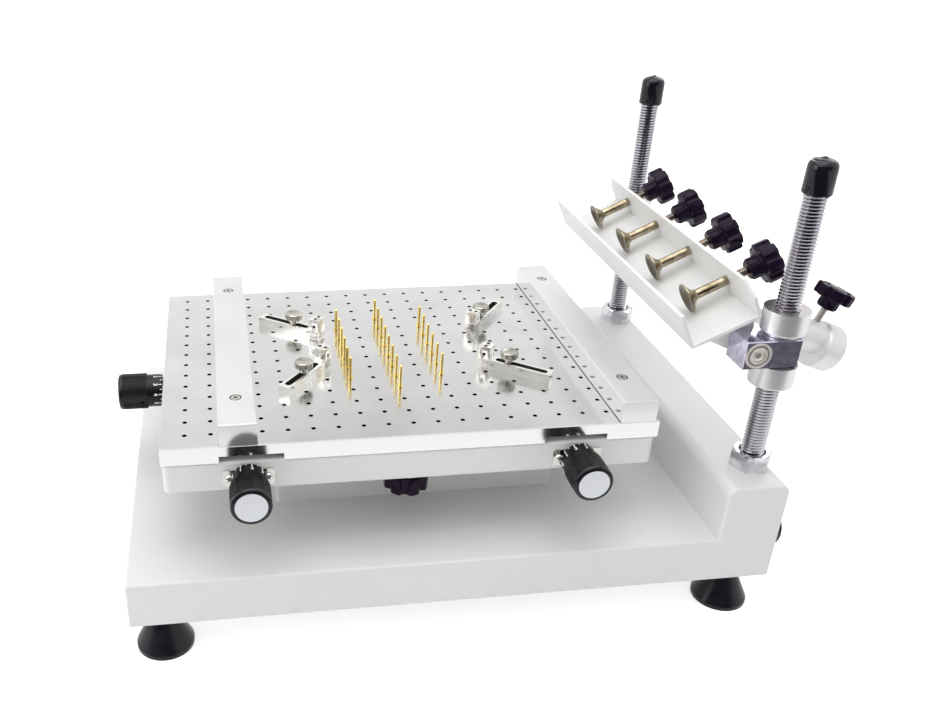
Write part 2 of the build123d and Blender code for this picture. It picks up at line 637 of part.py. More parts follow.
def bar_screw_places():
    """Places of the two screws in each raised bar."""
    rows = (TABLE_FRONT_Y + BAR_SCREW_FRONT, TABLE_BACK_Y - BAR_SCREW_BACK)
    return [Pos(x, y, BAR_TOP) for x in (LEFT_BAR_X, RIGHT_BAR_X) for y in rows]


def countersunk_screw(grown=0.0):
    """A countersunk screw hanging from Z = 0, or with a growth the hole for it."""
    head = BAR_SCREW_HEAD_RADIUS + grown
    shank = BAR_SCREW_SHANK_RADIUS + grown
    return turned([(0, 0), (head, 0), (shank, -BAR_SCREW_HEAD_DEPTH), (shank, -BAR_SCREW_LENGTH - grown),
                   (0, -BAR_SCREW_LENGTH - grown)])


def bar_screws():
    """The four screws that hold the raised bars."""
    return [place * countersunk_screw() for place in bar_screw_places()]


def dial_flange(frame):
    """Plate on the tray wall with the bush that a dial's spindle turns in."""
    plate = Box(FLANGE_WIDTH, FLANGE_HEIGHT, FLANGE_THICKNESS, align=STANDING)
    plate = frame * fillet(standing_edges(plate), FLANGE_CORNER)
    bush = frame * Pos(0, 0, -BUSH_LENGTH) * Cylinder(BUSH_RADIUS - RUNNING_FIT, BUSH_LENGTH, align=STANDING)
    bore = frame * Pos(0, 0, -BUSH_LENGTH - REACH_THROUGH) * Cylinder(
        SPINDLE_RADIUS + RUNNING_FIT, BUSH_LENGTH + FLANGE_THICKNESS + 2 * REACH_THROUGH, align=STANDING)
    part = plate + bush - bore
    for side in (-1, 1):
        part -= frame * Pos(side * FLANGE_SCREW_SPACING / 2, 0, -REACH_THROUGH) * Cylinder(
            FLANGE_SCREW_SHANK + RUNNING_FIT, FLANGE_THICKNESS + 2 * REACH_THROUGH, align=STANDING)
    return part


def dial_flanges():
    """The three flange plates."""
    return [dial_flange(frame) for frame in dial_frames().values()]


def flange_screws():
    """Two round-headed screws on each flange plate, down to the tray wall."""
    screws = []
    for frame in dial_frames().values():
        for side in (-1, 1):
            head = Cylinder(FLANGE_SCREW_RADIUS, FLANGE_SCREW_HEIGHT, align=STANDING)
            head = fillet(head.edges().sort_by(Axis.Z)[-1], FLANGE_SCREW_HEIGHT / 2)
            shank = Cylinder(FLANGE_SCREW_SHANK, FLANGE_THICKNESS, align=STANDING)
            place = frame * Pos(side * FLANGE_SCREW_SPACING / 2, 0, 0)
            screws.append(place * (shank + Pos(0, 0, FLANGE_THICKNESS) * head))
    return screws


def spindle_length(name):
    """How far a dial's spindle reaches in from the tray wall."""
    if name == "left":
        return TABLE_MIDDLE_X - Y_CARRIAGE_LENGTH / 2 - TABLE_TRAVEL - SEAT_GAP - TRAY_LEFT
    return PUSH_BAR_Y + PUSH_BAR_DEPTH / 2 - TRAY_FRONT


def dial_knob(name):
    """Ribbed knob with its graduated skirt and the spindle moulded into it."""
    frame = dial_frames()[name]
    start = FLANGE_THICKNESS + DIAL_STAND_OFF
    skirt = Pos(0, 0, start) * Cylinder(DIAL_SKIRT_RADIUS, DIAL_SKIRT_LENGTH, align=STANDING)
    grip = Cylinder(DIAL_GRIP_RADIUS, DIAL_GRIP_LENGTH, align=STANDING)
    grip = chamfer(grip.edges().sort_by(Axis.Z)[-1], DIAL_NOSE_EDGE)
    grip -= Pos(0, 0, DIAL_GRIP_LENGTH - DIAL_FACE_THICKNESS) * Cylinder(
        DIAL_FACE_RADIUS + RUNNING_FIT, DIAL_FACE_THICKNESS + REACH_THROUGH, align=STANDING)
    grip = Pos(0, 0, start + DIAL_SKIRT_LENGTH) * grip
    reach = spindle_length(name)
    spindle = Pos(0, 0, -reach) * Cylinder(SPINDLE_RADIUS, reach + start + OVERLAP, align=STANDING)
    return frame * (skirt + grip + spindle)


def dial_face(name):
    """Satin disc let into the end of a dial knob."""
    top = FLANGE_THICKNESS + DIAL_STAND_OFF + DIAL_SKIRT_LENGTH + DIAL_GRIP_LENGTH
    disc = Pos(0, 0, top - DIAL_FACE_THICKNESS) * Cylinder(DIAL_FACE_RADIUS, DIAL_FACE_THICKNESS, align=STANDING)
    return dial_frames()[name] * disc


def star_head(radius, thickness):
    """Lobed head of a star knob, standing on Z = 0."""
    head = Cylinder(radius, thickness, align=STANDING)
    for index in range(STAR_LOBES):
        turn = Rot(0, 0, 360 * index / STAR_LOBES)
        head -= turn * Pos(STAR_SCALLOP_CENTRE * radius, 0, -REACH_THROUGH) * Cylinder(
            STAR_SCALLOP * radius, thickness + 2 * REACH_THROUGH, align=STANDING)
    return chamfer(head.faces().sort_by(Axis.Z)[-1].edges(), STAR_EDGE)


def star_knob(radius, thickness, hub_length):
    """Star knob with its hub standing on Z = 0 and its head above."""
    hub = Cylinder(STAR_HUB * radius, hub_length + OVERLAP, align=STANDING)
    return hub + Pos(0, 0, hub_length) * star_head(radius, thickness)


def lock_knob():
    """Star knob under the tray whose stud clamps the worktable to the bed."""
    washer_bottom = PEDESTAL_TOP - SEAT_GAP - LOCK_WASHER_THICKNESS
    knob = Pos(LOCK_X, LOCK_Y, washer_bottom) * Rot(180, 0, 0) * star_knob(
        LOCK_KNOB_RADIUS, LOCK_KNOB_THICKNESS, LOCK_HUB_LENGTH)
    stud_top = TRAY_SKIN - SEAT_GAP
    stud = Pos(LOCK_X, LOCK_Y, washer_bottom - OVERLAP) * Cylinder(
        LOCK_STUD_RADIUS, stud_top - washer_bottom + OVERLAP, align=STANDING)
    return knob + stud


def lock_washer():
    """Broad washer between the lock knob and the underside of the bed."""
    place = Pos(LOCK_X, LOCK_Y, PEDESTAL_TOP - SEAT_GAP - LOCK_WASHER_THICKNESS)
    ring = Cylinder(LOCK_WASHER_RADIUS, LOCK_WASHER_THICKNESS, align=STANDING)
    hole = Pos(0, 0, -REACH_THROUGH) * Cylinder(
        LOCK_STUD_RADIUS + RUNNING_FIT, LOCK_WASHER_THICKNESS + 2 * REACH_THROUGH, align=STANDING)
    return place * (ring - hole)


def clamp_place(name):
    """Place of a corner clamp: origin at its hole on the plate, X towards its jaw."""
    column, row, angle, _ = CORNER_CLAMPS[name]
    x, y = hole_place(column, row)
    return Pos(x, y, PLATE_TOP) * Rot(0, 0, angle)


def corner_clamp(name):
    """Slotted bar with an upright jaw block at one end."""
    jaw_end = CORNER_CLAMPS[name][3]
    tail = jaw_end - CLAMP_LENGTH
    half = CLAMP_WIDTH / 2
    bar = block((tail, jaw_end), (-half, half), (0, CLAMP_HEIGHT))
    jaw = block((jaw_end - CLAMP_JAW_LENGTH, jaw_end), (-half, half), (0, CLAMP_JAW_HEIGHT))
    hole_start = (jaw_end - CLAMP_JAW_LENGTH / 2, -half - REACH_THROUGH, CLAMP_JAW_HOLE_HEIGHT)
    jaw -= round_bar(CLAMP_JAW_HOLE_RADIUS, hole_start, (0, 1, 0), CLAMP_WIDTH + 2 * REACH_THROUGH)
    slot_middle = tail + CLAMP_SLOT_START + CLAMP_SLOT_LENGTH / 2
    slot = Pos(slot_middle, 0, -REACH_THROUGH) * extrude(
        SlotOverall(CLAMP_SLOT_LENGTH, CLAMP_SLOT_WIDTH), CLAMP_HEIGHT + 2 * REACH_THROUGH)
    return clamp_place(name) * (bar + jaw - slot)


def thumb_screw(name):
    """Round-headed screw that holds a corner clamp down to its hole."""
    neck_top = CLAMP_HEIGHT + SEAT_GAP + THUMB_NECK_HEIGHT
    head_top = neck_top + THUMB_HEAD_HEIGHT
    screw = turned([
        (0, -THUMB_ENTRY), (HOLE_SHANK_RADIUS, -THUMB_ENTRY), (HOLE_SHANK_RADIUS, CLAMP_HEIGHT + SEAT_GAP),
        (THUMB_NECK_RADIUS, CLAMP_HEIGHT + SEAT_GAP), (THUMB_NECK_RADIUS - THUMB_NECK_TAPER, neck_top),
        (THUMB_HEAD_RADIUS - THUMB_HEAD_EDGE, neck_top), (THUMB_HEAD_RADIUS, neck_top + THUMB_HEAD_FLARE),
        (THUMB_HEAD_RADIUS, head_top - THUMB_HEAD_EDGE), (THUMB_HEAD_RADIUS - THUMB_HEAD_EDGE, head_top),
        (0, head_top),
    ])
    return clamp_place(name) * screw


def locating_pins():
    """Three lines of brass pins that stand in the holes of the plate."""
    pin = turned([
        (0, -PIN_SHANK), (HOLE_SHANK_RADIUS, -PIN_SHANK), (HOLE_SHANK_RADIUS, 0), (PIN_COLLAR_RADIUS, 0),
        (PIN_COLLAR_RADIUS, PIN_COLLAR_HEIGHT), (PIN_RADIUS, PIN_COLLAR_HEIGHT),
        (PIN_RADIUS, PIN_HEIGHT - PIN_RADIUS), (0, PIN_HEIGHT),
    ])
    pins = []
    for column, first, last in PIN_LINES:
        for row in range(first, last + 1):
            x, y = hole_place(column, row)
            pins.append(Pos(x, y, PLATE_TOP) * pin)
    return pins


# Lift and tilt of the clamp channel


def hinge_block(side):
    """Block that runs on a rod and carries one end of the channel."""
    y = side * ROD_Y
    right = PIVOT_X + BLOCK_END_FROM_PIVOT
    body = block((right - BLOCK_LENGTH, right), (y - BLOCK_WIDTH / 2, y + BLOCK_WIDTH / 2), (BLOCK_BOTTOM, BLOCK_TOP))
    body = chamfer(body.edges(), BLOCK_EDGE)
    body -= Pos(ROD_X, y, BLOCK_BOTTOM - REACH_THROUGH) * Cylinder(
        ROD_RADIUS + RUNNING_FIT, BLOCK_HEIGHT + 2 * REACH_THROUGH, align=STANDING)
    outer = y + side * BLOCK_WIDTH / 2
    inward = (0, -side, 0)
    body -= round_bar(BEARING_RADIUS, (PIVOT_X, outer + side * REACH_THROUGH, PIVOT_Z), inward,
                      BEARING_LENGTH + REACH_THROUGH)
    body -= round_bar(PIVOT_HEAD_RADIUS, (PIVOT_X, outer, PIVOT_Z), inward, BLOCK_WIDTH + REACH_THROUGH)
    return body


def hinge_bearings():
    """A flanged bearing in the outer face of each hinge block."""
    rings = []
    for side in (-1, 1):
        outer = side * (ROD_Y + BLOCK_WIDTH / 2)
        inward = (0, -side, 0)
        ring = round_bar(BEARING_RADIUS, (PIVOT_X, outer + side * BEARING_LIP, PIVOT_Z), inward,
                         BEARING_LENGTH + BEARING_LIP)
        ring -= round_bar(PIVOT_RADIUS + RUNNING_FIT, (PIVOT_X, outer + side * REACH_THROUGH, PIVOT_Z), inward,
                          BEARING_LENGTH + 2 * REACH_THROUGH)
        rings.append(ring)
    return rings


def round_nut(side, above):
    """Round nut that sets the height of a hinge block; the one above it has a collar."""
    nut = Cylinder(ROUND_NUT_RADIUS, ROUND_NUT_HEIGHT, align=STANDING)
    nut = fillet(nut.edges().sort_by(Axis.Z)[0], ROUND_NUT_EDGE)
    bottom = BLOCK_BOTTOM - SEAT_GAP - ROUND_NUT_HEIGHT
    if above:
        nut += Pos(0, 0, -NUT_COLLAR_HEIGHT) * Cylinder(
            NUT_COLLAR_RADIUS, NUT_COLLAR_HEIGHT + OVERLAP, align=STANDING)
        bottom = BLOCK_TOP + SEAT_GAP + NUT_COLLAR_HEIGHT
    nut -= Pos(0, 0, -NUT_COLLAR_HEIGHT - REACH_THROUGH) * Cylinder(
        ROD_RADIUS + RUNNING_FIT, ROUND_NUT_HEIGHT + NUT_COLLAR_HEIGHT + 2 * REACH_THROUGH, align=STANDING)
    return Pos(ROD_X, side * ROD_Y, bottom) * nut


def bracket(y_middle, thickness):
    """Plate under the channel's web that drops to the pivot line, in the channel's frame."""
    foot_left = CHANNEL_FRONT_U + CHANNEL_WIDTH / 2 - BRACKET_FOOT / 2
    foot_right = CHANNEL_REAR_U - SEAT_GAP
    outline = make_hull([
        Line((foot_left, CHANNEL_WEB_V), (foot_right, CHANNEL_WEB_V)),
        *CenterArc((0, 0), BRACKET_BOSS_RADIUS, 0, 360).edges(),
    ])
    sheet = extrude(Plane.XZ * outline, thickness / 2, both=True)
    return Pos(0, y_middle, 0) * sheet


def clamp_channel():
    """White U-section with its pivot brackets, and the lug and boss of the balance arm."""
    half = CHANNEL_LENGTH / 2
    channel = block((CHANNEL_FRONT_U, CHANNEL_REAR_U), (-half, half), (CHANNEL_WEB_V, CHANNEL_TOP_V))
    channel = fillet(channel.edges().filter_by(Axis.Y).group_by(Axis.Z)[0], CHANNEL_SHEET)
    channel -= block((CHANNEL_FRONT_U + CHANNEL_SHEET, CHANNEL_REAR_U - CHANNEL_SHEET),
                     (-half - REACH_THROUGH, half + REACH_THROUGH),
                     (CHANNEL_WEB_V + CHANNEL_SHEET, CHANNEL_TOP_V + REACH_THROUGH))
    rear_corners = channel.edges().filter_by(Axis.X).group_by(Axis.Z)[-1].filter_by(
        lambda edge: edge.center().X > CHANNEL_REAR_U - CHANNEL_SHEET)
    channel = chamfer(rear_corners, CHANNEL_CUT_CORNER)
    for y in screw_rows():
        channel -= round_bar(SHANK_RADIUS + RUNNING_FIT, (CHANNEL_REAR_U - CHANNEL_SHEET - REACH_THROUGH, y, SCREW_V),
                             (1, 0, 0), CHANNEL_SHEET + 2 * REACH_THROUGH)
    bracket_y = ROD_Y - BLOCK_WIDTH / 2 - SEAT_GAP - BRACKET_THICKNESS / 2
    for side in (-1, 1):
        channel += bracket(side * bracket_y, BRACKET_THICKNESS)
        channel -= Pos(0, side * bracket_y, 0) * Rot(90, 0, 0) * Cylinder(PIVOT_RADIUS, 2 * BRACKET_THICKNESS)
    channel = TILTED * (channel + bracket(ARM_Y, ARM_LUG_WIDTH))
    channel += ARM * Pos(0, 0, ARM_START) * Cylinder(ARM_BOSS_RADIUS, ARM_BOSS_LENGTH, align=STANDING)
    return channel - balance_arm()


def pivot_pins():
    """Socket-headed pins that the channel turns on, one in each hinge block."""
    pins = []
    for side in (-1, 1):
        outer = side * (ROD_Y + BLOCK_WIDTH / 2)
        inner = side * (ROD_Y - BLOCK_WIDTH / 2 - SEAT_GAP - BRACKET_THICKNESS)
        pin = round_bar(PIVOT_RADIUS, (PIVOT_X, inner, PIVOT_Z), (0, side, 0), abs(outer - inner))
        socket = Plane(origin=(PIVOT_X, outer, PIVOT_Z), z_dir=(0, -side, 0)) * extrude(
            RegularPolygon(PIVOT_SOCKET_RADIUS, 6), PIVOT_SOCKET_DEPTH)
        pins.append(pin - socket)
    return pins


def clamp_screw(index):
    """Dished disc on a shank that runs through the rear flange and into its knob."""
    length = KNOB_START_U + STUD_GRIP - DISC_U
    screw = turned([
        (0, 0), (DISC_RADIUS - DISC_THICKNESS / 2, -DISC_DISH), (DISC_RADIUS, -DISC_DISH),
        (DISC_RADIUS, DISC_THICKNESS - DISC_DISH), (SHANK_RADIUS, DISC_CONE_LENGTH), (SHANK_RADIUS, length),
        (0, length),
    ])
    place = Pos(DISC_U, screw_rows()[index], SCREW_V) * Rot(0, 90, 0)
    return TILTED * place * screw


def clamp_knob(index):
    """Star knob on the outer end of a clamp screw."""
    knob = star_knob(KNOB_RADIUS, KNOB_THICKNESS, KNOB_HUB_LENGTH)
    knob -= Pos(0, 0, -REACH_THROUGH) * Cylinder(SHANK_RADIUS + RUNNING_FIT, STUD_GRIP + REACH_THROUGH + SEAT_GAP,
                                                 align=STANDING)
    place = Pos(KNOB_START_U, screw_rows()[index], SCREW_V) * Rot(0, 90, 0)
    return TILTED * place * knob


def balance_arm():
    """Round arm that runs back from the channel and carries the weight."""
    return ARM * Pos(0, 0, ARM_START) * Cylinder(ARM_RADIUS, ARM_LENGTH, align=STANDING)


def weight_screw_place():
    """Frame of the weight's lock screw: origin on the arm's axis, Z out towards its knob."""
    along = WEIGHT_CENTRE - WEIGHT_LENGTH / 2 - WEIGHT_SCREW_FROM_DRUM
    return ARM * Pos(0, 0, along) * Rot(0, 90, 0)


def balance_weight():
    """Drum hung off centre on a hub that is bored for the arm and its lock screw."""
    front = WEIGHT_CENTRE - WEIGHT_LENGTH / 2
    drum = Pos(-WEIGHT_DROP, 0, front) * Cylinder(WEIGHT_RADIUS, WEIGHT_LENGTH, align=STANDING)
    drum = chamfer(drum.edges().filter_by(GeomType.CIRCLE), WEIGHT_EDGE)
    hub = Pos(0, 0, front - WEIGHT_HUB_LENGTH) * Cylinder(
        WEIGHT_HUB_RADIUS, WEIGHT_HUB_LENGTH + OVERLAP, align=STANDING)
    weight = ARM * (drum + hub)
    weight -= ARM * Cylinder(ARM_RADIUS + RUNNING_FIT, 2 * ARM_LENGTH, align=STANDING)
    weight -= weight_screw_place() * Cylinder(WEIGHT_SCREW_RADIUS + RUNNING_FIT, 2 * WEIGHT_HUB_RADIUS,
                                              align=STANDING)
    return weight


def weight_knob():
    """Star knob with the screw that locks the weight on its arm."""
    start = ARM_RADIUS + SEAT_GAP
    screw = Pos(0, 0, start) * Cylinder(
        WEIGHT_SCREW_RADIUS, WEIGHT_SCREW_REACH - start + OVERLAP, align=STANDING)
    knob = Pos(0, 0, WEIGHT_SCREW_REACH) * star_knob(
        WEIGHT_KNOB_RADIUS, WEIGHT_KNOB_THICKNESS, WEIGHT_KNOB_HUB_LENGTH)
    return weight_screw_place() * (screw + knob)


def all_pieces():
    """Every node of the printer by name."""
    pieces = {
        "base_body": base_body(),
        "base_cover": base_cover(),
        "side_plug": side_plug(),
        "pedestal": pedestal(),
        "slide_bed": slide_bed(),
        "near_rod": threaded_rod(-1),
        "far_rod": threaded_rod(1),
        "rod_base_nuts": rod_base_nuts(),
        "rod_caps": [rod_cap(-1), rod_cap(1)],
        "y_carriage": y_carriage(),
        "x_carriage": x_carriage(),
        "tray": tray(),
        "perforated_plate": perforated_plate(),
        "left_bar": raised_bar(LEFT_BAR_X),
        "right_bar": raised_bar(RIGHT_BAR_X),
        "bar_screws": bar_screws(),
        "dial_flanges": dial_flanges(),
        "flange_screws": flange_screws(),
        "lock_knob": lock_knob(),
        "lock_washer": lock_washer(),
        "locating_pins": locating_pins(),
        "near_hinge_block": hinge_block(-1),
        "far_hinge_block": hinge_block(1),
        "hinge_bearings": hinge_bearings(),
        "near_upper_nut": round_nut(-1, True),
        "near_lower_nut": round_nut(-1, False),
        "far_upper_nut": round_nut(1, True),
        "far_lower_nut": round_nut(1, False),
        "clamp_channel": clamp_channel(),
        "pivot_pins": pivot_pins(),
        "balance_arm": balance_arm(),
        "balance_weight": balance_weight(),
        "weight_knob": weight_knob(),
    }
    for name, (x, y) in foot_places().items():
        pieces["foot_" + name] = foot(x, y)
    for name in dial_frames():
        pieces["dial_knob_" + name] = dial_knob(name)
        pieces["dial_face_" + name] = dial_face(name)
    for name in CORNER_CLAMPS:
        pieces["corner_clamp_" + name] = corner_clamp(name)
        pieces["thumb_screw_" + name] = thumb_screw(name)
    for index in range(SCREW_COUNT):
        pieces[f"clamp_screw_{index + 1}"] = clamp_screw(index)
        pieces[f"clamp_knob_{index + 1}"] = clamp_knob(index)
    return pieces


def as_compound(piece):
    """One compound of a node's separate solids."""
    if isinstance(piece, list):
        return Compound(children=list(piece))
    return Compound(children=[piece])


def bench_middle(shapes):
    """The point at bench height under the middle of everything."""
    box = Compound(children=list(shapes)).bounding_box()
    return ((box.min.X + box.max.X) / 2, (box.min.Y + box.max.Y) / 2, box.min.Z)


def main():
    """Build every piece, shift all to the common origin and write one file for each."""
    shapes = {name: as_compound(piece) for name, piece in all_pieces().items()}
    x, y, z = bench_middle([Pos(0, 0, 0) * shape for shape in shapes.values()])
    os.makedirs("parts", exist_ok=True)
    for name, shape in shapes.items():
        export_step(Pos(-x, -y, -z) * shape, f"parts/{name}.step")
    print(f"{len(shapes)} nodes, origin shifted by {x:.3f}, {y:.3f}, {z:.3f}")
    return x, y, z


ORIGIN = main()
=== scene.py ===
"""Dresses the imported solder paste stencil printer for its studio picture.

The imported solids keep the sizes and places. This file gives each one its finish and adds what the
solids leave out: screw threads, moulded star knobs, dial scales, screw slots and rounded edges.
All lengths in the classes are millimetres; a piece is brought to metres when it is finished.
"""

import json
import logging
from collections.abc import Callable
from dataclasses import dataclass, field
from enum import Enum
from math import atan2, cos, pi, radians, sin, sqrt, tau

import bmesh
import bpy
from mathutils import Matrix, Vector

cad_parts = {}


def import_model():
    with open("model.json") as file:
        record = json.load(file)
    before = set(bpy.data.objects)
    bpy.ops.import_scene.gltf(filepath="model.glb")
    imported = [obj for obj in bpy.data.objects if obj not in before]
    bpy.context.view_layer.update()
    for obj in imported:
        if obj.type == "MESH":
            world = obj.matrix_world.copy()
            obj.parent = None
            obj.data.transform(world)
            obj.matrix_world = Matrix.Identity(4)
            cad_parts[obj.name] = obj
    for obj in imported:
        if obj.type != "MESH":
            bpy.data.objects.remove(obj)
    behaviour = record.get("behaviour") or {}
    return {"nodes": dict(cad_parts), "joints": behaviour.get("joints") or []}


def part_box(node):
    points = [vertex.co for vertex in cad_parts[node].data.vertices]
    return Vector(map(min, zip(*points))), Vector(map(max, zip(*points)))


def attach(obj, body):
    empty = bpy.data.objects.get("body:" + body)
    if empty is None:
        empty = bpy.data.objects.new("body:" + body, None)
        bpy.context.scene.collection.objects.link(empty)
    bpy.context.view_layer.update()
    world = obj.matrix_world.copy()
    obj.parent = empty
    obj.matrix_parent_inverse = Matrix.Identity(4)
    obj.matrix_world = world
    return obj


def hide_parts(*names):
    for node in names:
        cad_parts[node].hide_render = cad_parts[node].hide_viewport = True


LOG = logging.getLogger("stencil_printer")
MM = 0.001
# Corners of a thread: how far out from root to crest, and how far along its pitch.
THREAD_FORM = ((0.0, 0.0), (1.0, 0.28), (1.0, 0.42), (0.0, 0.7), (0.0, 1.0))
FIGURE_RISE = 0.06
FIGURE_WEIGHT = 0.07
# Colour of the painted shade deep in narrow holes.
PIT_SHADOW = (0.02, 0.02, 0.025)
Pair = tuple[float, float]
Triple = tuple[float, float, float]
Colour = Triple
Material = bpy.types.Material
Mesh = bmesh.types.BMesh
Socket = bpy.types.NodeSocket


class Grain(Enum):
    """Which way the fine lines of a worked metal run."""

    ALONG_X = (0.02, 1.0, 1.0)
    ALONG_Y = (1.0, 0.02, 1.0)
    AROUND_Z = (0.06, 0.06, 1.0)
    NONE = (1.0, 1.0, 1.0)


class Recess(Enum):
    """What a driver fits into at the head of a screw."""

    CROSS = "cross"
    HEXAGON = "hexagon"


# Finishes


class NodeBoard:
    """A node tree with short calls to add and join nodes."""

    def __init__(self, tree: bpy.types.NodeTree) -> None:
        """Empties a tree to fill it anew."""
        self.tree = tree
        tree.nodes.clear()

    def add(self, kind: str, **values: object) -> bpy.types.Node:
        """Adds a node.

        Args:
            kind: Blender's name of the node type.
            values: attributes to set, or input values by socket name with spaces as underscores.

        Returns:
            The new node.
        """
        node = self.tree.nodes.new(kind)
        for key, value in values.items():
            if hasattr(node, key):
                setattr(node, key, value)
            else:
                node.inputs[key.replace("_", " ")].default_value = value
        return node

    def link(self, source: Socket, target: Socket) -> None:
        """Joins an output to an input."""
        self.tree.links.new(source, target)

    def reckon(self, operation: str, first: Socket, second: Socket | float) -> Socket:
        """Joins two values by a sum of arithmetic.

        Args:
            operation: Blender's name of the sum.
            first: first value.
            second: second value, or a fixed number.

        Returns:
            The result.
        """
        node = self.add("ShaderNodeMath", operation=operation)
        self.link(first, node.inputs[0])
        if isinstance(second, Socket):
            self.link(second, node.inputs[1])
        else:
            node.inputs[1].default_value = second
        return node.outputs[0]

    def ramp(self, source: Socket, low: float, high: float, start: float = 0.3, end: float = 0.7,
             curve: str = "LINEAR") -> Socket:
        """Maps a value between two numbers.

        Args:
            source: value to map.
            low: result at the start.
            high: result at the end.
            start: value where the result begins to change.
            end: value where it is complete.
            curve: how it goes in between.

        Returns:
            The mapped value.
        """
        node = self.add("ShaderNodeMapRange", interpolation_type=curve)
        for name, value in (("From Min", start), ("From Max", end), ("To Min", low), ("To Max", high)):
            node.inputs[name].default_value = value
        self.link(source, node.inputs["Value"])
        return node.outputs["Result"]

    def blend(self, amount: Socket, first: Socket | Colour, second: Colour | float) -> Socket:
        """Mixes two colours or two numbers.

        Args:
            amount: 0 gives the first and 1 the second.
            first: socket, or a fixed colour.
            second: fixed colour or number, which says what is mixed.

        Returns:
            The mixed output.
        """
        coloured = isinstance(second, tuple)
        node = self.add("ShaderNodeMix", data_type="RGBA" if coloured else "FLOAT")
        first_input, second_input, output = (6, 7, 2) if coloured else (2, 3, 0)
        self.link(amount, node.inputs[0])
        if isinstance(first, Socket):
            self.link(first, node.inputs[first_input])
        else:
            node.inputs[first_input].default_value = (*first, 1)
        node.inputs[second_input].default_value = (*second, 1) if coloured else second
        return node.outputs[output]

    def part_of(self, vector: Socket, axis: str) -> Socket:
        """One axis of a vector."""
        parts = self.add("ShaderNodeSeparateXYZ")
        self.link(vector, parts.inputs[0])
        return parts.outputs[axis]

    def seen(self) -> Socket:
        """1 for a ray from the eye or by way of metal or glass, 0 for the light on the printer."""
        paths = self.add("ShaderNodeLightPath")
        found = paths.outputs["Is Camera Ray"]
        for kind in ("Is Glossy Ray", "Is Transmission Ray"):
            found = self.reckon("MAXIMUM", found, paths.outputs[kind])
        return found

    def shade(self, place: str, edges: dict[str, Pair], tone: Colour,
              under: Socket | Colour = (1, 1, 1)) -> Socket:
        """A soft darker part of the room, which only polished metal sees.

        Args:
            place: the coordinates that say where a ray arrives.
            edges: for each axis, the value where the part begins and the one where it is full.
            tone: colour of the part.
            under: colour of the rest.

        Returns:
            The colour of the surroundings.
        """
        where = self.add("ShaderNodeTexCoord").outputs[place]
        share = self.add("ShaderNodeLightPath").outputs["Is Glossy Ray"]
        for axis, (near, far) in edges.items():
            edge = self.ramp(self.part_of(where, axis), 0.0, 1.0, near, far, "SMOOTHSTEP")
            share = self.reckon("MULTIPLY", share, edge)
        return self.blend(share, under, tone)


class NodeSheet(NodeBoard):
    """A material's nodes round one shader."""

    def __init__(self, name: str) -> None:
        """Starts a material of that name."""
        self.material = bpy.data.materials.new(name)
        self.material.use_nodes = True
        super().__init__(self.material.node_tree)
        self.shader = self.add("ShaderNodeBsdfPrincipled")
        self.out = self.add("ShaderNodeOutputMaterial")
        self.link(self.shader.outputs["BSDF"], self.out.inputs["Surface"])

    def coordinates(self, scale: Triple = (1, 1, 1), location: Triple = (0, 0, 0)) -> Socket:
        """Object coordinates, in metres, scaled and then shifted along each axis."""
        where = self.add("ShaderNodeTexCoord")
        mapping = self.add("ShaderNodeMapping", Scale=scale, Location=location)
        self.link(where.outputs["Object"], mapping.inputs["Vector"])
        return mapping.outputs["Vector"]

    def noise(self, scale: float, detail: float = 2.0, grain: Grain = Grain.NONE) -> Socket:
        """A noise pattern.

        Args:
            scale: features per metre, roughly.
            detail: octaves.
            grain: which way it is drawn out.

        Returns:
            The value output.
        """
        node = self.add("ShaderNodeTexNoise", Scale=scale, Detail=detail, Roughness=0.6)
        self.link(self.coordinates(grain.value), node.inputs["Vector"])
        return node.outputs["Fac"]

    def upright(self) -> Socket:
        """1 on faces that stand upright, which take their own roughness and a lighter colour as painted
        light, and 0 on level ones.
        """
        rise = self.part_of(self.add("ShaderNodeTexCoord").outputs["Normal"], "Z")
        return self.reckon("LESS_THAN", self.reckon("ABSOLUTE", rise, 0.0), 0.5)

    def pits(self) -> Socket:
        """1 deep in a narrow hole and 0 on open faces; it masks the painted shade in holes."""
        hollow = self.add("ShaderNodeAmbientOcclusion", samples=6, only_local=True, Distance=0.006)
        return self.ramp(hollow.outputs["AO"], 1.0, 0.0, 0.28, 0.5)

    def paint(self, colour: Socket, roughness: Socket) -> None:
        """Joins the shader's colour and roughness."""
        self.link(colour, self.shader.inputs["Base Color"])
        self.link(roughness, self.shader.inputs["Roughness"])

    def tint(self, pattern: Socket, colour: Colour, shade: Colour) -> Socket:
        """A colour that changes to its shade with a pattern."""
        return self.blend(self.ramp(pattern, 0.0, 1.0), colour, shade)

    def bump(self, height: Socket, strength: float, distance: float) -> None:
        """Puts a height pattern on the shader's normal.

        Args:
            height: height from 0 to 1.
            strength: how much of it shows.
            distance: height in metres.
        """
        node = self.add("ShaderNodeBump", Strength=strength, Distance=distance)
        self.link(height, node.inputs["Height"])
        self.link(node.outputs["Normal"], self.shader.inputs["Normal"])

    def set(self, **values: object) -> None:
        """Sets the shader's own sockets by name, with spaces as underscores."""
        for key, value in values.items():
            self.shader.inputs[key.replace("_", " ")].default_value = value


@dataclass(frozen=True)
class PowderCoat:
    """Baked powder paint with a faint orange peel."""

    name: str = "powder_coat"
    colour: Colour = (0.82, 0.82, 0.815)
    shade: Colour = (0.79, 0.795, 0.785)
    roughness: float = 0.38
    peel: float = 0.10
    clouds: float = 14.0
    peel_scale: float = 620.0

    def material(self) -> Material:
        """Builds the paint."""
        sheet = NodeSheet(self.name)
        wide = sheet.noise(self.clouds)
        sheet.paint(sheet.tint(wide, self.colour, self.shade),
                    sheet.ramp(wide, self.roughness - 0.03, self.roughness + 0.05))
        sheet.bump(sheet.noise(self.peel_scale), self.peel, 0.0002)
        return sheet.material


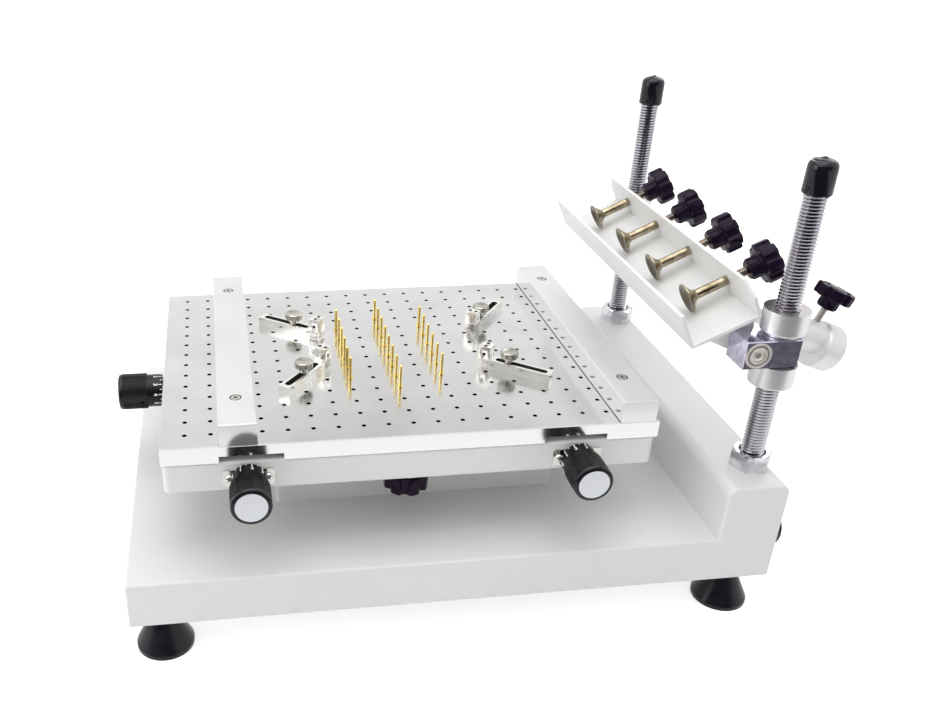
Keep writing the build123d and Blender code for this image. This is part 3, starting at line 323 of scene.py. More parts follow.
@dataclass(frozen=True)
class WorkedMetal:
    """Bare or plated metal with the lines that grinding, brushing or turning leaves."""

    name: str
    colour: Colour
    shade: Colour
    roughness: float = 0.25
    spread: float = 0.03
    lines: float = 300.0
    depth: float = 0.01
    metallic: float = 1.0
    clouds: float = 22.0
    grain: Grain = Grain.NONE
    flank_colour: Colour | None = None
    flank_roughness: float = 0.13
    pits: bool = False

    def material(self) -> Material:
        """Builds the metal."""
        sheet = NodeSheet(self.name)
        fine = sheet.noise(self.lines, grain=self.grain)
        sheet.set(Metallic=self.metallic)
        # Cloud patches between colour and shade: random tone on most finishes, painted reflection where the
        # two differ strongly.
        colour = sheet.tint(sheet.noise(self.clouds), self.colour, self.shade)
        rough = sheet.ramp(fine, self.roughness - self.spread, self.roughness + self.spread)
        # Painted light: upright faces get a lighter colour than level faces of the same metal.
        if self.flank_colour is not None:
            upright = sheet.upright()
            colour = sheet.blend(upright, colour, self.flank_colour)
            rough = sheet.blend(upright, rough, self.flank_roughness)
        # Painted shade: deep in narrow holes the colour is darkened towards PIT_SHADOW.
        if self.pits:
            colour = sheet.blend(sheet.pits(), colour, PIT_SHADOW)
        sheet.paint(colour, rough)
        sheet.bump(fine, self.depth, 0.0002)
        return sheet.material


@dataclass(frozen=True)
class Moulded:
    """Moulded plastic or dipped rubber with a fine skin."""

    name: str
    colour: Colour = (0.022, 0.021, 0.024)
    roughness: float = 0.34
    skin: float = 0.12
    skin_scale: float = 1500.0
    gloss: float = 0.0
    sheen: float = 0.3
    clouds: float = 60.0

    def material(self) -> Material:
        """Builds the plastic."""
        sheet = NodeSheet(self.name)
        wide = sheet.noise(self.clouds, 3.0)
        lighter = tuple(channel * 1.5 + 0.004 for channel in self.colour)
        sheet.paint(sheet.tint(wide, self.colour, lighter),
                    sheet.ramp(wide, self.roughness - 0.05, self.roughness + 0.07))
        sheet.set(Coat_Weight=self.gloss, Coat_Roughness=0.12, Specular_IOR_Level=self.sheen)
        sheet.bump(sheet.noise(self.skin_scale), self.skin, 0.0001)
        return sheet.material


@dataclass(frozen=True)
class SpunDisc:
    """Satin metal with fine rings about the middle of the piece."""

    name: str
    centre: Triple
    direction: str
    colour: Colour = (0.86, 0.88, 0.92)
    ring_scale: float = 420.0

    def material(self) -> Material:
        """Builds the disc's finish."""
        sheet = NodeSheet(self.name)
        shift = tuple(-value for value in self.centre)
        rings = sheet.add("ShaderNodeTexWave", wave_type="RINGS", rings_direction=self.direction,
                          Scale=self.ring_scale, Distortion=0.6)
        sheet.link(sheet.coordinates(location=shift), rings.inputs["Vector"])
        sheet.set(Metallic=0.55)
        tint = tuple(channel * 0.93 for channel in self.colour)
        sheet.paint(sheet.tint(sheet.noise(900.0, 3.0), self.colour, tint),
                    sheet.ramp(rings.outputs["Fac"], 0.36, 0.44))
        sheet.bump(rings.outputs["Fac"], 0.05, 0.00005)
        return sheet.material


class Finishes:
    """Every finish of the printer, each made once."""

    def __init__(self) -> None:
        """Makes the materials that more than one piece shares."""
        self.powder = PowderCoat().material()
        # The plate, bars and turned nuts have their upright faces painted lighter as painted light.
        self.plate = WorkedMetal(
            "satin_plate", (0.80, 0.80, 0.795), (0.71, 0.71, 0.705), 0.17, 0.02, 1500.0, 0.005,
            grain=Grain.ALONG_X, flank_colour=(0.93, 0.93, 0.94), pits=True).material()
        self.bars = WorkedMetal(
            "satin_bar", (0.86, 0.86, 0.85), (0.79, 0.79, 0.78), 0.34, 0.05, 1800.0, 0.015, 0.8,
            grain=Grain.ALONG_Y, flank_colour=(0.88, 0.88, 0.88)).material()
        self.slides = WorkedMetal("slide_aluminium", (0.62, 0.63, 0.64), (0.55, 0.56, 0.57), 0.38, 0.06,
                                  2600.0, 0.06, grain=Grain.ALONG_X).material()
        # The block's cloud patches are partly scratches and partly painted reflection.
        self.block = WorkedMetal("milled_block", (0.82, 0.80, 0.94), (0.55, 0.53, 0.68), 0.11, 0.04,
                                 900.0, 0.01, 0.88, 190.0, Grain.ALONG_X).material()
        self.turned = WorkedMetal(
            "turned_nut", (0.36, 0.34, 0.36), (0.28, 0.26, 0.28), 0.24, 0.03, 900.0, 0.01, 0.75,
            grain=Grain.AROUND_Z, flank_colour=(0.87, 0.87, 0.87), flank_roughness=0.3).material()
        self.weight = WorkedMetal("plated_weight", (0.92, 0.92, 0.92), (0.88, 0.88, 0.89), 0.4,
                                  depth=0.0, metallic=0.35).material()
        self.zinc = WorkedMetal("zinc_thread", (0.78, 0.77, 0.79), (0.68, 0.67, 0.70), 0.12, 0.02,
                                depth=0.005).material()
        # Painted shade: this finish darkens the roots of threads and the nuts' countersinks.
        self.root = WorkedMetal("thread_root_painted_shade", (0.20, 0.18, 0.23), (0.12, 0.10, 0.14), 0.2, 0.04,
                                depth=0.005).material()
        # The zinc nuts' and nickel screws' strong cloud patches are painted reflection.
        self.hexagon = WorkedMetal("zinc_nut", (0.92, 0.92, 0.94), (0.50, 0.49, 0.54), 0.12, 0.03,
                                   200.0, 0.01, 0.9, 110.0).material()
        self.nickel = WorkedMetal("warm_nickel", (0.54, 0.46, 0.32), (0.20, 0.16, 0.10), 0.07, 0.02,
                                  depth=0.002, clouds=150.0).material()
        # Painted shade: this finish is the dark hollow face of the clamp screws' discs.
        self.dish = WorkedMetal("nickel_dish_painted_shade", (0.19, 0.16, 0.11), (0.05, 0.04, 0.025), 0.16,
                                depth=0.002, clouds=190.0).material()
        self.bright = WorkedMetal("bright_nickel", (0.95, 0.94, 0.90), (0.84, 0.82, 0.76), 0.16, 0.02,
                                  200.0, 0.0, 0.7, 90.0).material()
        self.thumb = WorkedMetal("knurled_nickel", (0.60, 0.59, 0.53), (0.46, 0.45, 0.40), 0.22, 0.08,
                                 900.0, 0.05).material()
        self.race = WorkedMetal("bearing_race", (0.84, 0.80, 0.74), (0.70, 0.66, 0.60), 0.3,
                                depth=0.0, metallic=0.55).material()
        self.shield = WorkedMetal("bearing_shield", (0.42, 0.40, 0.40), (0.34, 0.32, 0.33), 0.3,
                                  depth=0.0, metallic=0.55).material()
        self.flange = WorkedMetal("pale_nickel", (0.76, 0.75, 0.71), (0.64, 0.63, 0.60), 0.16,
                                  0.04).material()
        self.gold = WorkedMetal("gilt_brass", (1.0, 0.80, 0.32), (0.92, 0.70, 0.24), 0.2, 0.0,
                                900.0, 0.0, 0.9).material()
        self.knob = Moulded("knob_plastic", (0.009, 0.003, 0.014), 0.15, 0.02, sheen=0.13).material()
        self.dial = Moulded("dial_anodised", (0.005, 0.005, 0.007), 0.28, 0.04, 900.0).material()
        self.nose = Moulded("dial_nose", (0.004, 0.004, 0.006), 0.12, 0.02, 900.0, 0.2).material()
        self.cap = Moulded("dipped_cap", (0.006, 0.004, 0.009), 0.14, 0.02, 300.0, 0.2).material()
        self.foot = Moulded("foot_plastic", (0.008, 0.006, 0.010), 0.28, 0.03, 900.0).material()
        self.ink = Moulded("scale_ink", (0.80, 0.80, 0.80), 0.5, 0.03).material()
        # Painted shadow: recess_shadow is put into screw recesses, slots, holes, round the bar screws and
        # along the bars' feet.
        self.dark = Moulded("recess_shadow", (0.03, 0.028, 0.03), 0.5, 0.05, 900.0).material()


# Mesh tools


def add_object(name: str, data: bpy.types.ID) -> bpy.types.Object:
    """Puts an object with its data into the scene."""
    thing = bpy.data.objects.new(name, data)
    bpy.context.scene.collection.objects.link(thing)
    return thing


def as_mesh(thing: bpy.types.Object) -> Mesh:
    """A copy of an object's mesh, as its modifiers leave it."""
    bpy.context.view_layer.update()
    mesh = bpy.data.meshes.new_from_object(thing.evaluated_get(bpy.context.evaluated_depsgraph_get()))
    bm = bmesh.new()
    bm.from_mesh(mesh)
    bpy.data.meshes.remove(mesh)
    return bm


def placed(spot: Triple, turn: float = 0.0) -> Matrix:
    """A place at a point, turned about Z by some degrees."""
    return Matrix.Translation(spot) @ Matrix.Rotation(radians(turn), 4, "Z")


def rounded(bm: Mesh, width: float, segments: int, angle: float = 30.0) -> None:
    """Bevels every edge sharper than an angle.

    Args:
        bm: mesh in millimetres.
        width: bevel width.
        segments: bevel segments.
        angle: smallest angle between faces, in degrees.
    """
    edges = [edge for edge in bm.edges if edge.is_manifold and edge.calc_face_angle(0.0) > radians(angle)]
    bmesh.ops.bevel(bm, geom=edges, offset=width, offset_type="OFFSET", segments=segments, profile=0.5,
                    affect="EDGES", material=-1, clamp_overlap=True)


def turned(profile: list[Pair], steps: int) -> Mesh:
    """Turns a line about Z.

    Args:
        profile: radius and height of each point, from axis to axis or a closed ring.
        steps: number of sides.

    Returns:
        A closed mesh.
    """
    bm = bmesh.new()
    points = [bm.verts.new((radius, 0, height)) for radius, height in profile]
    edges = [bm.edges.new(pair) for pair in zip(points, points[1:])]
    if profile[0][0] > 0 and profile[-1][0] > 0:
        edges.append(bm.edges.new((points[-1], points[0])))
    bmesh.ops.spin(bm, geom=points + edges, cent=(0, 0, 0), axis=(0, 0, 1), angle=tau, steps=steps,
                   use_merge=True)
    bmesh.ops.remove_doubles(bm, verts=bm.verts[:], dist=1e-4)
    bmesh.ops.recalc_face_normals(bm, faces=bm.faces[:])
    return bm


def mark(bm: Mesh, test: Callable[[Vector, Vector], bool], material: int = 1) -> None:
    """Gives a material's number to the faces whose middle and normal pass a test."""
    for face in bm.faces:
        if test(face.calc_center_median(), face.normal):
            face.material_index = material


def drum(radius: float, low: float, high: float, steps: int) -> Mesh:
    """A closed cylinder about Z between two heights."""
    return turned([(0, low), (radius, low), (radius, high), (0, high)], steps)


def hexagon(corner: float, low: float, high: float, turn: float = 0.0) -> Mesh:
    """A six-sided bar about Z between two heights, with its corners at a radius."""
    bm = bmesh.new()
    bmesh.ops.create_cone(bm, cap_ends=True, segments=6, radius1=corner, radius2=corner, depth=high - low)
    bm.transform(placed((0, 0, (low + high) / 2), turn))
    return bm


def cut_flat(bm: Mesh, height: float, above: bool) -> None:
    """Cuts a mesh flat at a height and closes the cut.

    Args:
        bm: closed mesh.
        height: Z of the cut.
        above: whether the part above goes away.
    """
    geom = bm.verts[:] + bm.edges[:] + bm.faces[:]
    cut = bmesh.ops.bisect_plane(bm, geom=geom, plane_co=(0, 0, height), plane_no=(0, 0, 1),
                                 clear_outer=above, clear_inner=not above)
    rim = [item for item in cut["geom_cut"] if isinstance(item, bmesh.types.BMEdge)]
    bmesh.ops.edgeloop_fill(bm, edges=rim)


def threaded(radius: float, root: float, pitch: float, low: float, high: float, steps: int = 20) -> Mesh:
    """A threaded stud between two heights.

    Args:
        radius: outer radius of the thread.
        root: radius at the bottom of the thread.
        pitch: height of a turn.
        low: height where it starts.
        high: height where it ends.
        steps: sides of a turn.

    Returns:
        A mesh whose two ends are cut flat, with the bottom of its thread in the second material.
    """
    bm = bmesh.new()
    points = [bm.verts.new((root + (radius - root) * out, 0, low + pitch * (rise - 1)))
              for out, rise in THREAD_FORM]
    edges = [bm.edges.new(pair) for pair in zip(points, points[1:])]
    turns = int((high - low) / pitch) + 3
    bmesh.ops.spin(bm, geom=points + edges, cent=(0, 0, 0), axis=(0, 0, 1), dvec=(0, 0, pitch / steps),
                   angle=tau * turns, steps=steps * turns)
    # The bottom of the thread takes the second material, which the callers make darker as painted shade.
    for face in bm.faces:
        deep = max(vert.co.xy.length for vert in face.verts) < (radius + root) / 2
        face.material_index = 1 if deep else 0
    bmesh.ops.remove_doubles(bm, verts=bm.verts[:], dist=pitch / 60)
    cut_flat(bm, low, False)
    cut_flat(bm, high, True)
    bmesh.ops.recalc_face_normals(bm, faces=bm.faces[:])
    return bm


def merge_in(target: Mesh, other: Mesh, place: Matrix = Matrix.Identity(4), material: int = 0) -> None:
    """Copies one mesh into another and frees it.

    Args:
        target: mesh that takes the copy.
        other: mesh to copy.
        place: transform of the copy.
        material: number to add to the material index of its faces.
    """
    other.transform(place)
    for face in other.faces:
        face.material_index += material
    mesh = bpy.data.meshes.new("part")
    other.to_mesh(mesh)
    target.from_mesh(mesh)
    bpy.data.meshes.remove(mesh)
    other.free()


def box_mesh(size: Triple, centre: Triple = (0, 0, 0), edge: float = 0.0) -> Mesh:
    """A box with rounded edges.

    Args:
        size: lengths along X, Y and Z.
        centre: middle point.
        edge: bevel width, or 0 for none.

    Returns:
        The mesh.
    """
    bm = bmesh.new()
    bmesh.ops.create_cube(bm, size=1.0)
    bm.transform(Matrix.Translation(centre) @ Matrix.Diagonal((*size, 1)))
    if edge > 0:
        rounded(bm, edge, 2)
    return bm


def carve(bm: Mesh, cutter: Mesh) -> Mesh:
    """Cuts one closed mesh out of another.

    Args:
        bm: mesh to cut; it is freed.
        cutter: mesh that takes material away; it is freed.

    Returns:
        The cut mesh.
    """
    things = []
    for source in (bm, cutter):
        mesh = bpy.data.meshes.new("carve")
        source.to_mesh(mesh)
        source.free()
        things.append(add_object("carve", mesh))
    cut = things[0].modifiers.new("cut", "BOOLEAN")
    cut.operation = "DIFFERENCE"
    cut.solver = "EXACT"
    cut.object = things[1]
    result = as_mesh(things[0])
    for thing in things:
        used = thing.data
        bpy.data.objects.remove(thing)
        bpy.data.meshes.remove(used)
    return result


def fluted(radius: float, depth: float, count: int, low: float, high: float) -> Mesh:
    """A cylinder with fine ribs along it.

    Args:
        radius: outer radius.
        depth: depth of the grooves.
        count: number of ribs.
        low: height where it starts.
        high: height where it ends.

    Returns:
        A closed mesh.
    """
    bm = bmesh.new()
    bmesh.ops.create_circle(bm, cap_ends=True, segments=count * 4, radius=radius)
    for index, vert in enumerate(sorted(bm.verts, key=lambda item: atan2(item.co.y, item.co.x))):
        if index % 4 > 1:
            vert.co *= (radius - depth) / radius
    raised = bmesh.ops.extrude_face_region(bm, geom=bm.faces[:])["geom"]
    upper = [item for item in raised if isinstance(item, bmesh.types.BMVert)]
    bmesh.ops.translate(bm, verts=upper, vec=(0, 0, high - low))
    bmesh.ops.recalc_face_normals(bm, faces=bm.faces[:])
    bm.transform(Matrix.Translation((0, 0, low)))
    return bm


def figure(text: str, height: float) -> Mesh:
    """A number as a thin raised mesh in the XY plane, centred on X.

    Args:
        text: what it says.
        height: height of the letters' body.

    Returns:
        A closed mesh.
    """
    curve = bpy.data.curves.new("figure", "FONT")
    curve.body = text
    curve.size = height
    curve.extrude = FIGURE_RISE
    curve.offset = FIGURE_WEIGHT
    curve.align_x = "CENTER"
    curve.resolution_u = 3
    thing = add_object("figure", curve)
    bm = as_mesh(thing)
    bmesh.ops.remove_doubles(bm, verts=bm.verts[:], dist=1e-4)
    bmesh.ops.recalc_face_normals(bm, faces=bm.faces[:])
    bpy.data.objects.remove(thing)
    bpy.data.curves.remove(curve)
    return bm


def wrapped(bm: Mesh, radius: float, angle: float, foot: float) -> Mesh:
    """Bends a flat mark round a cylinder about Z, with its top towards lower Z.

    Args:
        bm: flat mesh in the XY plane; it is changed.
        radius: radius of the cylinder.
        angle: where X = 0 comes, in degrees.
        foot: height where Y = 0 comes.

    Returns:
        The same mesh.
    """
    for vert in bm.verts:
        turn = radians(angle) - vert.co.x / radius
        out = radius + vert.co.z
        vert.co = Vector((out * cos(turn), out * sin(turn), foot - vert.co.y))
    bmesh.ops.recalc_face_normals(bm, faces=bm.faces[:])
    return bm


@dataclass(frozen=True)
class Screw:
    """Head and shank of a screw, with its head's top at the given height above Z = 0."""

    radius: float
    height: float
    shank_radius: float
    shank_length: float
    recess: Recess = Recess.CROSS
    sunk: bool = False

    def mesh(self) -> Mesh:
        """The screw with its recess."""
        r, h, s = self.radius, self.height, self.shank_radius
        if self.sunk:
            line = [(0, 0), (r - 0.15, 0), (r, -0.15), (s, -h)]
        else:
            line = [(0, h), (r * 0.45, h * 0.97), (r * 0.78, h * 0.78), (r * 0.96, h * 0.4), (r, 0), (s, 0)]
        bm = turned(line + [(s, -self.shank_length), (0, -self.shank_length)], 36)
        for part in self.driver(0.0):
            bm = carve(bm, part)
        # Painted shadow: a dark slab of the second material lies at the bottom of the recess.
        for part in self.driver(0.3):
            merge_in(bm, part, Matrix.Translation((0, 0, -self.depth())), 1)
        return bm

    def depth(self) -> float:
        """Depth of the recess."""
        return min(1.3, self.height * 0.75 + 0.4)

    def driver(self, floor: float) -> list[Mesh]:
        """The driver's shape as separate plain solids.

        Args:
            floor: thickness of the dark floor of the recess, a piece of painted shadow, or 0 for the whole
                driver.

        Returns:
            Closed meshes about the top of the head.
        """
        depth = floor / 2 or self.depth()
        top = 0.0 if self.sunk else self.height
        if self.recess is Recess.HEXAGON:
            return [hexagon(self.radius * 0.5, top - depth, top + depth)]
        long, thin = self.radius * 1.15, self.radius * 0.27
        return [box_mesh((x, y, 2 * depth), (0, 0, top)) for x, y in ((long, thin), (thin, long))]


class Studio:
    """Finishes pieces: brings them to metres, smooths them, gives materials and hangs them on a body."""

    def __init__(self) -> None:
        """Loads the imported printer."""
        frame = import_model()
        self.nodes: dict[str, bpy.types.Object] = frame["nodes"]
        self.joints = {joint["name"]: joint for joint in frame["joints"]}
        self.count = 0

    def middle(self, node: str) -> Vector:
        """Middle of a solid's box in millimetres."""
        low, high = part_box(node)
        return (low + high) / 2 / MM

    def span(self, node: str) -> tuple[Vector, Vector]:
        """Lowest and highest corner of a solid's box in millimetres."""
        low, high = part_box(node)
        return low / MM, high / MM

    def axis(self, joint: str) -> tuple[Vector, Vector]:
        """A point of a hinge in millimetres, and its direction."""
        data = self.joints[joint]
        return Vector(data["pos_m"]) / MM, Vector(data["axis"]).normalized()

    def along(self, node: str, direction: Vector) -> Pair:
        """Lowest and highest value of a solid along a direction, in millimetres."""
        values = [vert.co.dot(direction) / MM for vert in self.nodes[node].data.vertices]
        return min(values), max(values)

    def length(self, node: str, joint: str) -> float:
        """Length of a solid along a hinge, in millimetres."""
        low, high = self.along(node, self.axis(joint)[1])
        return high - low

    def on_hinge(self, node: str, joint: str, from_end: float, flip: bool = False,
                 roll: float = 0.0) -> Matrix:
        """A place on a hinge's axis, measured back from the far end of a solid.

        Args:
            node: the solid.
            joint: the hinge.
            from_end: distance back from the solid's far end.
            flip: whether Z runs against the hinge's direction.
            roll: turn about Z in degrees.

        Returns:
            The transform, with Z along the axis.
        """
        point, direction = self.axis(joint)
        if flip:
            direction = -direction
        end = self.along(node, direction)[1]
        return facing(direction, point + direction * (end - from_end - point.dot(direction)), roll)

    def dress(self, material: Material, *names: str) -> None:
        """Gives solids a finish.

        Args:
            material: the finish.
            names: nodes that take it.
        """
        for name in names:
            mesh = self.nodes[name].data
            mesh.materials.clear()
            mesh.materials.append(material)

    def piece(self, bm: Mesh, name: str, body: str, materials: list[Material],
              place: Matrix = Matrix.Identity(4), replaces: tuple[str, ...] = (),
              smooth: float = 38.0) -> bpy.types.Object:
        """Makes an object from a mesh in millimetres.

        Args:
            bm: mesh in its own frame; it is freed.
            name: name of the piece.
            body: body that it rides on.
            materials: its materials, by material index.
            place: its place in millimetres.
            replaces: nodes that it stands for.
            smooth: edges flatter than this many degrees shade smoothly.

        Returns:
            The object.
        """
        bm.transform(Matrix.Scale(MM, 4) @ place)
        mesh = bpy.data.meshes.new(name)
        bm.to_mesh(mesh)
        bm.free()
        for material in materials:
            mesh.materials.append(material)
        mesh.polygons.foreach_set("use_smooth", [True] * len(mesh.polygons))
        mesh.set_sharp_from_angle(angle=radians(smooth))
        thing = add_object(name, mesh)
        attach(thing, body)
        if replaces:
            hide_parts(*replaces)
        self.count += 1
        LOG.info("%s rides on %s, %d faces", name, body, len(mesh.polygons))
        return thing


def facing(direction: Vector, origin: Vector, roll: float = 0.0) -> Matrix:
    """A place whose Z looks along a direction.

    Args:
        direction: where Z points.
        origin: its origin in millimetres.
        roll: turn about Z in degrees.

    Returns:
        The transform.
    """
    turn = direction.to_track_quat("Z", "Y").to_matrix().to_4x4()
    return Matrix.Translation(origin) @ turn @ Matrix.Rotation(radians(roll), 4, "Z")


# Sub-assemblies


class Assembly:
    """Pieces that are built and dressed together."""

    def build(self, studio: Studio, finish: Finishes) -> None:
        """Adds the assembly's pieces and dresses its solids.

        Args:
            studio: the loaded printer.
            finish: its finishes.
        """
        raise NotImplementedError


@dataclass
class Rods(Assembly):
    """The two threaded rods, with their nuts and dipped caps."""

    radius: float = 6.98
    root: float = 5.9
    pitch: float = 2.0
    nut_flats: float = 22.0
    nut_turn: float = 20.0
    nut_edge: float = 0.4
    bore_gap: float = 0.12
    sink_width: float = 1.3
    sink_depth: float = 0.9

    def nut(self, height: float) -> Mesh:
        """A hexagon nut with turned-off corners and a countersink at the top of its bore, painted dark as
        shade.

        Args:
            height: its height.

        Returns:
            The nut on Z = 0, its countersink in the second material.
        """
        corner = self.nut_flats / 2 / cos(pi / 6)
        bm = hexagon(corner, 0, height, self.nut_turn)
        flat = self.nut_flats / 2 - self.nut_edge
        away = corner + 0.6
        drop = (away - flat) * 0.5
        bm = carve(bm, turned([(flat, height + 0.5), (flat, height), (away, height - drop),
                               (away, height + 0.5)], 72))
        bore = self.radius + self.bore_gap
        wide = bore + self.sink_width
        bm = carve(bm, turned([(0, -1), (bore, -1), (bore, height - self.sink_depth), (wide, height),
                               (wide, height + 1), (0, height + 1)], 48))
        # Painted shade: the bore and countersink take the dark second material.
        mark(bm, lambda spot, normal: spot.xy.length < wide - 0.1 and normal.z < 0.95)
        return bm

    def cap(self, radius: float, height: float) -> Mesh:
        """A dipped cap with a domed top, a small nub and an open foot.

        Args:
            radius: its outer radius.
            height: its height.

        Returns:
            The cap on Z = 0.
        """
        inner, dome = self.radius + 0.02, height - 1.1
        return turned([
            (0, height), (0.9, height - 0.1), (1.5, height - 0.8), (3.2, dome), (radius - 2.6, dome - 0.8),
            (radius - 1.0, dome - 1.9), (radius - 0.3, dome - 3.3), (radius - 0.1, dome - 4.9), (radius, 0.6),
            (radius - 0.2, 0), (inner, 0), (inner, 1.5), (0, 1.5),
        ], 56)

    def build(self, studio: Studio, finish: Finishes) -> None:
        """Adds the threads, hexagon nuts and caps and dresses the round nuts."""
        nuts, caps = bmesh.new(), bmesh.new()
        nut_low, nut_high = studio.span("rod_base_nuts")
        for side in ("near", "far"):
            low, high = studio.span(f"{side}_rod")
            middle = studio.middle(f"{side}_rod")
            thread = threaded(self.radius, self.root, self.pitch, low.z, high.z)
            studio.piece(thread, f"{side}_thread", "base", [finish.zinc, finish.root],
                         placed((middle.x, middle.y, 0)), (f"{side}_rod",), 60.0)
            merge_in(nuts, self.nut(nut_high.z - nut_low.z), placed((middle.x, middle.y, nut_low.z)))
        low, high = studio.span("rod_caps")
        radius = (high.x - low.x) / 2
        for y in (low.y + radius, high.y - radius):
            merge_in(caps, self.cap(radius, high.z - low.z), placed((low.x + radius, y, low.z)))
        studio.piece(caps, "dipped_caps", "base", [finish.cap], replaces=("rod_caps",),
                     smooth=40.0)
        studio.piece(nuts, "chamfered_nuts", "base", [finish.hexagon, finish.root],
                     replaces=("rod_base_nuts",), smooth=25.0)
        studio.dress(finish.turned, "near_upper_nut", "near_lower_nut", "far_upper_nut", "far_lower_nut")


@dataclass
class StarKnob:
    """Moulded star knob: a lobed head on a ribbed hub, standing on Z = 0 with the hub first."""

    radius: float = 13.0
    thickness: float = 9.5
    hub_radius: float = 6.5
    hub_length: float = 8.0
    lobes: int = 7
    scallop: float = 0.236
    scallop_centre: float = 1.07
    ribs: int = 10
    rib: Pair = (0.9, 1.0)
    edge: float = 1.1

    @property
    def height(self) -> float:
        """Height of the whole knob."""
        return self.hub_length + self.thickness

    def outline(self, angle: float) -> float:
        """Radius of the head at an angle, as a share of its radius.

        Args:
            angle: angle about the axis in radians.

        Returns:
            The share.
        """
        share = tau / self.lobes
        away = abs(angle % share - share / 2)
        inside = self.scallop ** 2 - (self.scallop_centre * sin(away)) ** 2
        if inside <= 0:
            return 1.0
        return min(1.0, self.scallop_centre * cos(away) - sqrt(inside))

    def head(self) -> Mesh:
        """The lobed head: rings up its side and over its sunk top."""
        r, t, e = self.radius, self.thickness, self.edge
        rings = [(r * 0.4, 0, 0), (r - e, 0, 1), (r - 0.3 * e, 0.3 * e, 1), (r, e, 1), (r, t - e, 1),
                 (r - 0.3 * e, t - 0.3 * e, 1), (r - e, t, 1), (r - e - 1.5, t, 1), (r - e - 2.1, t - 0.8, 1),
                 (r * 0.52, t - 0.8, 0), (r * 0.47, t, 0), (r * 0.4, t + 0.2, 0)]
        bm = bmesh.new()
        steps = self.lobes * 16
        loops = []
        for radius, height, lobed in rings:
            loop = []
            for step in range(steps):
                angle = tau * step / steps
                reach = radius * self.outline(angle) if lobed else radius
                loop.append(bm.verts.new((reach * cos(angle), reach * sin(angle), height)))
            loops.append(loop)
        for lower, upper in zip(loops, loops[1:]):
            for step in range(steps):
                after = (step + 1) % steps
                bm.faces.new((lower[step], lower[after], upper[after], upper[step]))
        bm.faces.new(loops[0][::-1])
        bm.faces.new(loops[-1])
        bmesh.ops.recalc_face_normals(bm, faces=bm.faces[:])
        return bm

    def hub(self) -> Mesh:
        """The hub with its small collar and ribs."""
        r, length = self.hub_radius, self.hub_length
        bm = turned([(0, 0.4), (2.9, 0.4), (3.2, 0), (r - 0.9, 0), (r - 0.3, 0.6), (r, length - 1.4),
                     (r + 1.0, length), (r + 1.0, length + 1), (0, length + 1)], 40)
        for index in range(self.ribs):
            rib = box_mesh((*self.rib, length - 1.2), (r - 0.1, 0, length / 2 + 0.4), 0.3)
            merge_in(bm, rib, Matrix.Rotation(tau * index / self.ribs, 4, "Z"))
        return bm

    def mesh(self) -> Mesh:
        """The whole knob."""
        bm = self.head()
        bm.transform(Matrix.Translation((0, 0, self.hub_length)))
        merge_in(bm, self.hub())
        return bm


